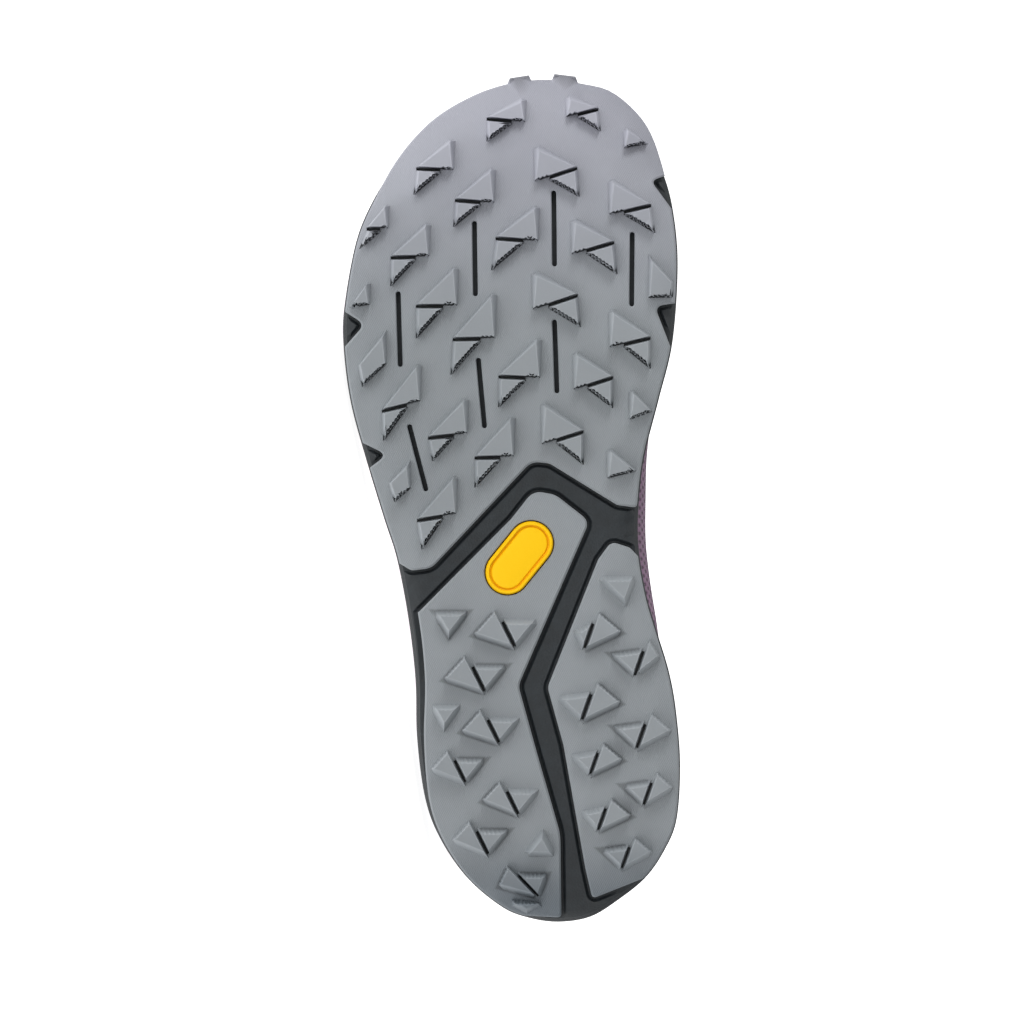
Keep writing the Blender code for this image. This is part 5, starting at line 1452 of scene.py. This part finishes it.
OVERLAY_SHOWN = 0.0016  # of toe cap and heel band over the skin
STAY_SHOWN = 0.0013  # of the lace band
TOE_CAP_REACH = 11 / 64
COUNTER_REACH = 9 / 64
THROAT = 13 / 64
OVERLAY_TOP = 0.985  # of the lace band, just under the throat's edge
CROWN = 0.10  # rise of tongue and laces over the throat, as a share of its width
RIM_UPS = np.concatenate([[0], np.linspace(RIM_UP, 1, 9)])


def toe_top(around):
    """Upper line of the toe cap."""
    share = min(1, abs(around - 0.5) / TOE_CAP_REACH)
    return 0.10 + 0.32 * (1 - share**3)


def counter_top(around):
    """Upper line of the heel band."""
    around = (around + 0.5) % 1 - 0.5
    share = min(1, abs(around) / COUNTER_REACH)
    return 0.10 + 0.42 * (1 - share**2)


def stay_foot(around):
    """Lower line of the lace band."""
    return OVERLAY_TOP - 0.17 - 0.03 * math.cos(2 * math.pi * around)


def rim_top(around):
    """Where a moulded overlay starts, just above the foam's rim."""
    heights = upper_point(around, RIM_UPS)[:, 2]
    return float(np.interp(RIM_HEIGHT + 3 * GAP, heights - heights[0], RIM_UPS))


def build_overlays():
    film = overlay_material()
    toe = np.linspace(0.5 - TOE_CAP_REACH, 0.5 + TOE_CAP_REACH, 150)
    band("toe_bumper", "toe_cap", toe, rim_top, toe_top, OVERLAY_SHOWN, film)
    heel = np.linspace(-COUNTER_REACH, COUNTER_REACH, 130)
    band("heel_stabiliser", "heel_counter", heel, rim_top, counter_top, OVERLAY_SHOWN, film)
    throat = np.linspace(THROAT, 1 - THROAT, 260)
    band("lace_band", "eyestay", throat, stay_foot, lambda a: OVERLAY_TOP, STAY_SHOWN, film)


def tongue_line(around, lift, ups):
    """Across the throat under its edges, from the lateral side to the medial one."""
    depth = np.full(len(ups), -(UPPER_WALL + 2 * GAP))
    lateral = upper_face(around, ups, depth)
    medial = upper_face(1 - around, ups[::-1], depth)
    start, end = lateral[-1], medial[0]
    middle = 0.5 * (start + end) + (0, 0, lift)
    pull = 2 * middle - 0.5 * (start + end)
    t = np.linspace(0, 1, 17)[1:-1, None]
    crown = (1 - t) ** 2 * start + 2 * t * (1 - t) * pull + t**2 * end
    return np.vstack([lateral, crown, medial])


def crown_rise(around):
    """Height of the foot's instep over the throat's edges."""
    left, right = upper_point(around, 1.0), upper_point(1 - around, 1.0)
    return CROWN * abs(right[1] - left[1])


def softened(rows, times):
    """Rows of points, each averaged with its neighbours, the ends kept."""
    rows = np.array(rows, float)
    for _ in range(times):
        rows[1:-1] = 0.25 * rows[:-2] + 0.5 * rows[1:-1] + 0.25 * rows[2:]
    return rows


TONGUE_LEAN = np.array([0, 0, 0.25])  # added rise of the tongue's free end
# How much the free end narrows, and between which shares of its rise
TONGUE_SQUEEZES = ((0.20, 0, 0.4), (0.12, 0.4, 1.0), (0.25, 0.85, 1.05))
TONGUE_SHOWN = 0.0008  # of the quilted side in front of the tongue's line
QUILT_DEPTH = 0.0007
QUILT_PITCH = 0.014
END_ROWS = 6  # lines of the tongue in its rounded end
HIDDEN_ROWS = 4  # lines of the tongue under the toe end of the throat, which is pressed flat


def tongue_lines():
    """Lines across the tongue from the toe end to its free end."""
    ups = np.linspace(0.84, 1.0, 8)
    lines = [tongue_line(a, crown_rise(a), ups) for a in np.linspace(0.484, THROAT, 46)]
    last = lines[-1]
    middle = len(last) // 2
    centre = last[middle]
    way = unit(centre - lines[-6][middle]) + TONGUE_LEAN
    even = softened(last, 60)
    for step in np.linspace(0, 1, 15)[1:]:
        squeeze = 1 - sum(share * smooth(step, *where) for share, *where in TONGUE_SQUEEZES)
        line = last + (even - last) * smooth(step, 0, 0.6)
        free = centre + (line - centre) * (squeeze, squeeze, 0.8 * squeeze)
        lines.append(free + way * TONGUE_RISE * step)
    return lines


def build_tongue():
    """Padded tongue: quilted across, with a rounded free end above the collar."""
    lines = tongue_lines()
    rows, columns = len(lines), len(lines[0])
    across = np.linspace(-1, 1, columns)
    full = (1 - across**4)[:, None]
    outer, inner, flow = [], [], []
    walk = 0.0
    for number, line in enumerate(lines):
        before = lines[max(number - 1, 0)]
        slope = lines[min(number + 1, rows - 1)] - before
        normal = units(np.cross(slope, np.gradient(line, axis=0)))
        if normal[columns // 2, 2] > 0:
            normal = -normal
        normal = units(softened(normal, 12))
        walk += np.linalg.norm(line[columns // 2] - before[columns // 2])
        past = max(0, number - (rows - END_ROWS)) / (END_ROWS + 0.2)
        thick = TONGUE * np.sqrt(np.maximum(full, 0.02)) * math.sqrt(1 - past**2)
        quilt = QUILT_DEPTH * abs(math.sin(walk * math.pi / QUILT_PITCH)) ** 0.6
        shown = 1 if number > HIDDEN_ROWS else 0.3
        outer.append(line + normal * (TONGUE_SHOWN - quilt * full) * shown)
        inner.append(line + normal * np.maximum(thick, 0.3 * TONGUE))
        flow.append(np.column_stack([np.full(columns, walk), across * 0.03, np.zeros(columns)]))
    verts = np.vstack([*outer, *inner])
    size = rows * columns
    front = grid_faces(rows, columns)
    faces = [*front, *(front[:, ::-1] + size)]
    faces += [(b, a, a + size, b + size) for a, b in border_edges(front)]
    tint = np.broadcast_to(tone(MAUVE) * 0.8, (len(verts), 3))
    tongue = piece("tongue_pad", verts, faces, mesh_material(), ["tongue"], tint,
                   np.vstack([*flow, *flow]), math.radians(50))


EYELET_UP = 0.90
EYELET_RADIUS = 0.0024


def eyelet_places():
    """Places around the lateral side that carry an eyelet, from the toe end to the collar."""
    return np.linspace(28 / 64, 14 / 64, EYELET_PAIRS)


def frame_at(around, up):
    """Point, outward normal and heading towards the throat's edge on the upper."""
    ahead = skin(around + 0.002, up) - skin(around - 0.002, up)
    inwards = skin(around, up + 0.01) - skin(around, up - 0.01)
    return skin(around, up), unit(np.cross(ahead, inwards)), unit(inwards)


def heading_at(path, i):
    """Unit vector along a path at its point i."""
    return unit(path[min(i + 1, len(path) - 1)] - path[max(i - 1, 0)])


def strap_ring(centre, side, above, width, thickness, powers, count, belly=0.0):
    """Rounded rectangle of a strap. The powers square off its width and thickness, and belly makes
    its middle that much thicker than its edges."""
    ring = []
    for angle in np.linspace(0, 2 * math.pi, count, endpoint=False):
        c, s = math.cos(angle), math.sin(angle)
        wide = 0.5 * width * math.copysign(abs(c) ** powers[0], c)
        high = 0.5 * thickness * math.copysign(abs(s) ** powers[1], s)
        ring.append(centre + side * wide + above * high * (1 + 0.4 * belly - belly * abs(c)))
    return ring


def strap_faces(rings, size, start=0):
    """Faces of a strap made of rings of points, its two ends closed."""
    faces = [tuple(face) for face in grid_faces(rings, size, wrap_columns=True, start=start)]
    faces.append(tuple(range(start, start + size))[::-1])
    faces.append(tuple(range(start + size * (rings - 1), start + size * rings)))
    return faces


LACE_POINTS = 16
LACE_CLEAR = 0.0013  # of the lace over the skin, beside its eyelets
BRIDGE_WAY = np.array([0.34, 0.0, 0.94])  # away from the foot, over the throat
LACE_REST = LACE_CLEAR + 0.5 * LACE_THICKNESS
# Points of a crossing's end at its eyelet, from under the skin: height over it, way to the throat
EYELET_STEPS = ((-0.001, 0.0), (0.4 * LACE_REST, 0.0006), (LACE_REST + 0.0006, 0.0028))


def lace_path(start_at, end_at, layer):
    """Middle line of one crossing from eyelet to eyelet, and its flat side's directions."""
    ends = []
    for at in (start_at, end_at):
        here, normal, inwards = frame_at(at, EYELET_UP)
        ends.append([here + normal * level + inwards * reach for level, reach in EYELET_STEPS])
        ends.append(normal)
    head, start_up, tail, end_up = ends
    span = tail[-1] - head[-1]
    arch = CROWN * abs(span[1]) + 0.0016 + 0.9 * layer
    t = np.linspace(0, 1, 19)[1:-1, None]
    bridge = head[-1] + span * t + BRIDGE_WAY * arch * 4 * t * (1 - t)
    path = softened(np.vstack([head, bridge, tail[::-1]]), 1)
    blend = np.linspace(0, 1, len(path))[:, None]
    ups = start_up * (1 - blend) + end_up * blend + BRIDGE_WAY * np.sin(math.pi * blend)
    return path, units(ups)


def build_laces():
    """Crossings of one flat lace that dives into an eyelet at each end."""
    places = eyelet_places()
    runs = [((places[0], 1 - places[0]), 0.0)]
    for i in range(EYELET_PAIRS - 1):
        runs.append(((places[i], 1 - places[i + 1]), 0.0))
        runs.append(((1 - places[i], places[i + 1]), LACE_THICKNESS))
    verts, faces, flow = [], [], []
    for (start_at, end_at), layer in runs:
        path, ups = lace_path(start_at, end_at, layer)
        faces += strap_faces(len(path), LACE_POINTS, len(verts))
        for i, centre in enumerate(path):
            run = heading_at(path, i)
            side = unit(np.cross(run, ups[i]))
            width = LACE_WIDTH * (0.55 + 0.45 * smooth(min(i, len(path) - 1 - i), 0, 4))
            verts += strap_ring(centre, side, np.cross(side, run), width, LACE_THICKNESS, (0.4, 0.6),
                                LACE_POINTS, 0.25)
        walk = np.repeat(walked(path), LACE_POINTS)
        round_lace = np.tile(np.linspace(0, 2 * LACE_WIDTH, LACE_POINTS), len(path))
        flow.append(np.column_stack([walk, round_lace, walk * 0]))
    piece("lace_crossings", np.array(verts), faces, lace_material(), ["laces"], None,
          np.vstack(flow))


RING_POINTS = 28
TUBE_POINTS = 10
HOLE_POINTS = 24
EYELET_TUBE = 0.0006  # radius of the rim's own section
EYELET_RIM = EYELET_RADIUS + 0.0005  # radius of its middle line
HOLE_LIFT = 0.0001  # of the dark disc of painted shade in the hole, so that it shows


def round_places(normal, count):
    """Unit vectors at even angles round a normal."""
    side = unit(np.cross(normal, (1.0, 0.0, 0.0)))
    other = np.cross(normal, side)
    angles = np.linspace(0, 2 * math.pi, count, endpoint=False)
    return [side * math.cos(angle) + other * math.sin(angle) for angle in angles]


def build_eyelets():
    """Punched holes, each a dark disc of painted shade, with a moulded rim, a pair at a time."""
    verts, faces, holes, hole_faces = [], [], [], []
    for place in eyelet_places():
        for around in (place, 1 - place):
            here, normal, _ = frame_at(around, EYELET_UP)
            centre = here + normal * STAY_SHOWN
            faces += [*grid_faces(RING_POINTS, TUBE_POINTS, True, True, len(verts))]
            for out in round_places(normal, RING_POINTS):
                for angle in np.linspace(0, 2 * math.pi, TUBE_POINTS, endpoint=False):
                    radius = EYELET_RIM + EYELET_TUBE * math.cos(angle)
                    verts.append(centre + out * radius + normal * 0.8 * EYELET_TUBE * math.sin(angle))
            hole_faces.append(range(len(holes), len(holes) + HOLE_POINTS))
            middle = centre + normal * HOLE_LIFT
            holes += [middle + EYELET_RADIUS * out for out in round_places(normal, HOLE_POINTS)]
    tints = np.broadcast_to(tone(OVERLAY_GREY) * 0.55, (len(verts), 3))
    piece("eyelet_rims", np.array(verts), faces, overlay_material(), (), tints)
    piece("eyelet_holes", np.array(holes), hole_faces, hole_shade_material(), ())


def collar_seam(around):
    """Place up the upper of the seam under the collar's pad."""
    return 0.70 + 0.05 * math.cos(4 * math.pi * around)


STITCH_LENGTH = 0.0022
STITCH_GAP = 0.0011
STITCH_RADIUS = 0.00042
STITCH_RINGS = 5
STITCH_POINTS = 6

# Seams: where each starts and ends around the sole, how many points its line has, its place up
# the upper there, and its height over the skin
Seam = namedtuple("Seam", "start end count up lift")
SEAMS = (
    Seam(THROAT + 0.004, 1 - THROAT - 0.004, 500, lambda a: stay_foot(a) + 0.018, 0.0014),
    Seam(THROAT + 0.004, 1 - THROAT - 0.004, 500, lambda a: 0.968, 0.0014),
    Seam(-THROAT + 0.006, THROAT - 0.006, 420, collar_seam, 0.0002),
    Seam(-COUNTER_REACH + 0.012, COUNTER_REACH - 0.012, 300, lambda a: counter_top(a) - 0.022, 0.0016),
    Seam(0.512 - TOE_CAP_REACH, 0.488 + TOE_CAP_REACH, 360, lambda a: toe_top(a) - 0.02, 0.0016),
)


def stitch_row(points, normals, start):
    """Short raised stitches along a line on a surface. The faces count points from the start."""
    walk = walked(points)
    verts, faces = [], []
    place = STITCH_GAP
    while place + STITCH_LENGTH < walk[-1]:
        ends = along_line(points, [place, place + STITCH_LENGTH])
        up = normals[min(np.searchsorted(walk, place), len(normals) - 1)]
        side = np.cross(unit(ends[1] - ends[0]), up)
        faces += [*grid_faces(STITCH_RINGS, STITCH_POINTS, False, True, start + len(verts))]
        for t in np.linspace(0, 1, STITCH_RINGS):
            bulge = STITCH_RADIUS * (0.35 + 0.65 * math.sin(math.pi * t))
            centre = ends[0] + (ends[1] - ends[0]) * t + up * bulge * 0.3
            for angle in np.linspace(0, 2 * math.pi, STITCH_POINTS, endpoint=False):
                verts.append(centre + side * bulge * math.cos(angle) + up * bulge * math.sin(angle))
        place += STITCH_LENGTH + STITCH_GAP
    return verts, faces


def build_stitching():
    """Seams of the upper: along the lace band, under the collar, over the heel and the toe."""
    verts, faces = [], []
    for seam in SEAMS:
        around = np.linspace(seam.start, seam.end, seam.count)
        ups = np.array([seam.up(a) for a in around])
        points = skin(around, ups, seam.lift)
        higher = skin(around, ups + 0.01, seam.lift) - points
        normals = units(np.cross(np.gradient(points, axis=0), higher))
        more, more_faces = stitch_row(points, normals, len(verts))
        verts += more
        faces += more_faces
    piece("seam_stitches", np.array(verts), faces, thread_material(), ())


LOOP_POINTS = 20


def build_pull_loop():
    """Woven webbing that climbs the heel, turns over the collar and ends inside."""
    rest = GAP + 0.5 * LOOP_THICKNESS
    bow = LOOP_WIDTH**2 / (2 * HEEL_WIDTH)
    outside = skin(0.0, np.linspace(0.70, 0.90, 8), rest)
    within = skin(0.0, np.linspace(0.90, 0.82, 4), -(UPPER_WALL + COLLAR_PAD + bow + rest))
    half = 0.5 * (within[0, 0] - outside[-1, 0])
    top = skin(0.0, 1.0)
    middle = np.array([outside[-1, 0] + half, top[1], top[2]])
    angles = np.linspace(math.pi, 0, 17)
    turn = [middle + (half * math.cos(a), 0, LOOP_RISE * 0.9 * math.sin(a)) for a in angles]
    path = np.vstack([outside, turn, within])
    across = np.array([0, 1, 0])
    verts = []
    for i, centre in enumerate(path):
        away = np.cross(heading_at(path, i), across)
        verts += strap_ring(centre, across, away, LOOP_WIDTH, LOOP_THICKNESS, (0.3, 0.5), LOOP_POINTS)
    verts = np.array(verts)
    walk = np.repeat(walked(path), LOOP_POINTS)
    flow = np.column_stack([walk, verts[:, 1], walk * 0])
    piece("heel_webbing", verts, strap_faces(len(path), LOOP_POINTS), webbing_material(), ["pull_loop"],
          None, flow)


def new_material(name, color, roughness, **more):
    """Material with a Principled shader and its inputs' values, more of them by their names."""
    material = bpy.data.materials.new(name)
    material.use_nodes = True
    shader = material.node_tree.nodes["Principled BSDF"]
    values = {"Base Color": linear(color), "Roughness": roughness, **more}
    for socket, value in values.items():
        shader.inputs[socket.replace("_", " ")].default_value = value
    return material


def node(material, kind, inputs=None, **settings):
    """New node; an input is a value, or the output that goes there."""
    made = material.node_tree.nodes.new(kind)
    for name, value in settings.items():
        setattr(made, name, value)
    for name, value in (inputs or {}).items():
        target = made.inputs[name]
        if isinstance(value, bpy.types.NodeSocket):
            material.node_tree.links.new(value, target)
        else:
            target.default_value = value
    return made


def link(material, output, name):
    """Lead an output into the material's shader."""
    shader = material.node_tree.nodes["Principled BSDF"]
    material.node_tree.links.new(output, shader.inputs[name])


def shaded(material, color, value, at_low, at_high, low=0.0, high=1.0):
    """Colour times a factor, which goes from at_low to at_high while the value goes low to high."""
    factor = node(material, "ShaderNodeMapRange", {
        "Value": value, "From Min": low, "From Max": high, "To Min": at_low, "To Max": at_high})
    inputs = {0: color, "Scale": factor.outputs["Result"]}
    return node(material, "ShaderNodeVectorMath", inputs, operation="SCALE").outputs["Vector"]


def noise(material, position, scale, detail=2.0):
    inputs = {"Vector": position, "Scale": scale, "Detail": detail}
    return node(material, "ShaderNodeTexNoise", inputs).outputs["Fac"]


def mottled(material, color, amount, scale, position):
    """Colour with a faint cloud of lighter and darker spots."""
    cloud = noise(material, position, scale, 5.0)
    return shaded(material, color, cloud, 1 - amount, 1 + amount, 0.3, 0.7)


def plain_color(material, color):
    made = node(material, "ShaderNodeRGB")
    made.outputs[0].default_value = linear(color)
    return made.outputs[0]


def bump(material, height, strength, distance, normal=None):
    inputs = {"Height": height, "Strength": strength, "Distance": distance}
    if normal is not None:
        inputs["Normal"] = normal
    return node(material, "ShaderNodeBump", inputs).outputs["Normal"]


def waves(material, position, turn, pitch, profile="SIN"):
    """Stripes of a pitch in metres across a direction of the position's plane."""
    mapping = node(material, "ShaderNodeMapping", {"Vector": position, "Rotation": (0, 0, turn)})
    scale = 2 * math.pi / (20 * pitch)
    wave = node(material, "ShaderNodeTexWave", {"Vector": mapping.outputs["Vector"], "Scale": scale},
                wave_type="BANDS", bands_direction="X", wave_profile=profile)
    return wave.outputs["Fac"]


def position_of(material):
    return node(material, "ShaderNodeTexCoord").outputs["Object"]


def attribute(material, name, output="Vector"):
    return node(material, "ShaderNodeAttribute", attribute_name=name).outputs[output]


def multiplied(material, a, b):
    return node(material, "ShaderNodeMath", {0: a, 1: b}, operation="MULTIPLY").outputs["Value"]


def crossed(material, position, turn, pitch):
    """Two sets of stripes, turned to both sides and multiplied: a weave."""
    return multiplied(material, *(waves(material, position, way * turn, pitch) for way in (1, -1)))


HATCH_PITCH = 0.00062
HATCH_TURN = math.radians(52)


def rubber_material():
    """Matte moulded rubber: a fine diagonal hatch, its stripes darkened with painted shade of its
    fine grooves, and tiny pits.
    """
    material = new_material("rubber_skin", RUBBER_MIDDLE, 0.58)
    place = position_of(material)
    color = mottled(material, attribute(material, "tint", "Color"), 0.025, 55.0, place)
    sole = node(material, "ShaderNodeMapping", {"Vector": place, "Rotation": (math.pi / 2, 0, 0)})
    hatch = waves(material, sole.outputs["Vector"], HATCH_TURN, HATCH_PITCH)
    shown = multiplied(material, hatch, attribute(material, "hatched", "Fac"))
    # The hatch's stripes darken the colour a little: painted shade of its fine grooves, beside the bump
    link(material, shaded(material, color, shown, 1.0, 0.88), "Base Color")
    fine = bump(material, noise(material, place, 1400.0), 0.25, 0.0002)
    link(material, bump(material, shown, 0.4, 0.00012, fine), "Normal")
    return material


def badge_material():
    """Smooth yellow plastic with hardly any gloss."""
    material = new_material("badge_skin", BADGE_YELLOW, 0.5, Specular_IOR_Level=0.2)
    link(material, attribute(material, "tint", "Color"), "Base Color")
    pits = noise(material, position_of(material), 900.0)
    link(material, bump(material, pits, 0.12, 0.0002), "Normal")
    return material


def foam_material():
    """Dark moulded foam with a fine skin and a few lighter specks."""
    material = new_material("foam_skin", FOAM, 0.62)
    place = position_of(material)
    link(material, mottled(material, plain_color(material, FOAM), 0.22, 260.0, place), "Base Color")
    cells = node(material, "ShaderNodeTexVoronoi", {"Vector": place, "Scale": 1300.0})
    link(material, bump(material, cells.outputs["Distance"], 0.25, 0.00025), "Normal")
    return material


def insole_material():
    """Grey cloth with a fine weave."""
    material = new_material("insole_cloth", INSOLE_GREY, 0.95, Sheen_Weight=0.25)
    place = position_of(material)
    grey = plain_color(material, INSOLE_GREY)
    link(material, mottled(material, grey, 0.12, 150.0, place), "Base Color")
    weave = crossed(material, place, 0.78, 0.0011)
    link(material, bump(material, weave, 0.5, 0.0004), "Normal")
    return material


MESH_PITCH = 0.0026


def mesh_material():
    """Knitted mesh: crossing rows of yarn round small dark openings."""
    material = new_material("knit_mesh", MAUVE, 0.88, Sheen_Weight=0.2)
    flow = attribute(material, "flow")
    openings = crossed(material, flow, math.radians(28), MESH_PITCH)
    color = shaded(material, attribute(material, "tint", "Color"), openings, 1.12, 0.42, 0.28, 0.62)
    link(material, mottled(material, color, 0.10, 90.0, position_of(material)), "Base Color")
    yarn = waves(material, flow, math.radians(90), 0.0009)
    pressed = node(material, "ShaderNodeMath", {0: 1.0, 1: openings}, operation="SUBTRACT")
    fine = bump(material, yarn, 0.35, 0.0002)
    link(material, bump(material, pressed.outputs["Value"], 0.8, 0.0007, fine), "Normal")
    return material


def overlay_material():
    """Thin moulded film with a soft grain."""
    material = new_material("overlay_film", OVERLAY_GREY, 0.48)
    place = position_of(material)
    tint = attribute(material, "tint", "Color")
    link(material, mottled(material, tint, 0.06, 120.0, place), "Base Color")
    link(material, bump(material, noise(material, place, 1100.0, 4.0), 0.3, 0.0003), "Normal")
    return material


def woven(name, color, pitch):
    """Cloth of crossing threads, a pitch apart."""
    material = new_material(name, color, 0.85, Sheen_Weight=0.2)
    weave = crossed(material, attribute(material, "flow"), 0.7, pitch)
    link(material, shaded(material, plain_color(material, color), weave, 0.72, 1.1), "Base Color")
    link(material, bump(material, weave, 0.7, 0.0003), "Normal")
    return material


def lace_material():
    return woven("lace_cloth", LACE_GREY, 0.0011)


def webbing_material():
    return woven("webbing_cloth", MAROON, 0.0016)


def thread_material():
    material = new_material("seam_thread", THREAD_TAN, 0.7)
    twist = noise(material, position_of(material), 2500.0, 1.0)
    link(material, bump(material, twist, 0.3, 0.0002), "Normal")
    return material


# Near-black for the eyelets' holes: painted shade of the holes' inside
def hole_shade_material():
    material = new_material("eyelet_hole_shade", EYELET_HOLE_SHADE, 0.9)
    grain = noise(material, position_of(material), 900.0)
    link(material, bump(material, grain, 0.2, 0.0002), "Normal")
    return material


VIEW_CENTRE = 0.1379  # middle of the photo along the shoe
VIEW_WIDTH = 0.342  # what the photo spans at the tread
VIEW_DISTANCE = 3.0
LENS = 200.0
SENSOR = LENS * VIEW_WIDTH / VIEW_DISTANCE


def build_camera():
    """Square to the tread, toe up in the picture, from the photo's side."""
    turn = SHOE[:3, :3]
    right, up, back = turn @ (0, 1, 0), turn @ (1, 0, 0), turn @ (0, 0, -1)
    place = to_frame([(VIEW_CENTRE, 0.0, -VIEW_DISTANCE)])[0]
    data = bpy.data.cameras.new("photo_camera")
    data.lens = LENS
    data.sensor_width = SENSOR
    data.sensor_fit = "HORIZONTAL"
    data.clip_end = 50
    camera = bpy.data.objects.new("photo_camera", data)
    matrix = np.eye(4)
    matrix[:3, 0], matrix[:3, 1], matrix[:3, 2], matrix[:3, 3] = right, up, back, place
    camera.matrix_world = Matrix(matrix.tolist())
    bpy.context.scene.collection.objects.link(camera)
    bpy.context.scene.camera = camera


# Soft round lights, aimed at one point: place in the frame, size across and power
SoftLight = namedtuple("SoftLight", "name place size power")
LIGHTS = (
    SoftLight("key_from_toe", (-2.1, -1.4, 1.0), 1.1, 30),
    SoftLight("fill_in_front", (0.5, -2.6, 1.2), 1.4, 5),
    SoftLight("overhead", (0.0, 0.3, 2.4), 3.2, 26),
)
LIGHT_AIM = Vector((0.0, 0.0, 0.05))
WHITE = (1, 1, 1, 1)
SKY_LIGHT = 0.26
FLOOR_GLOW = 0.9
FLOOR_HALF = 30.0
FLOOR_DROP = 0.0008  # the rounded foam and the stitches reach this far below the solids


def build_floor():
    """Pale floor that glows a little, so that it fades into the white background."""
    corners = [(x * FLOOR_HALF, y * FLOOR_HALF, 0) for x, y in ((-1, -1), (1, -1), (1, 1), (-1, 1))]
    mesh = bpy.data.meshes.new("floor")
    mesh.from_pydata(corners, [], [(0, 1, 2, 3)])
    mesh.materials.append(new_material("pale_floor", FLOOR_WHITE, 0.95, Emission_Color=WHITE,
                                       Emission_Strength=FLOOR_GLOW, Specular_IOR_Level=0.0))
    floor = bpy.data.objects.new("floor", mesh)
    floor.location.z = -FLOOR_DROP
    bpy.context.scene.collection.objects.link(floor)


def build_lights():
    """The main light stands at the toe's side, in front of the sole."""
    for row in LIGHTS:
        data = bpy.data.lights.new(row.name, "AREA")
        data.shape = "DISK"
        data.size = row.size
        data.energy = row.power
        light = bpy.data.objects.new(row.name, data)
        light.location = row.place
        light.rotation_euler = (LIGHT_AIM - Vector(row.place)).to_track_quat("-Z", "Y").to_euler()
        bpy.context.scene.collection.objects.link(light)
    world = bpy.data.worlds.new("studio")
    world.use_nodes = True
    world.node_tree.nodes["Background"].inputs["Color"].default_value = WHITE
    world.node_tree.nodes["Background"].inputs["Strength"].default_value = SKY_LIGHT
    bpy.context.scene.world = world
    bpy.context.scene.view_settings.view_transform = "Standard"


build_outsole()
build_badge()
build_midsole()
build_insole()
build_upper()
build_overlays()
build_tongue()
build_laces()
build_eyelets()
build_stitching()
build_pull_loop()
build_camera()
build_floor()
build_lights()

bpy.context.view_layer.update()
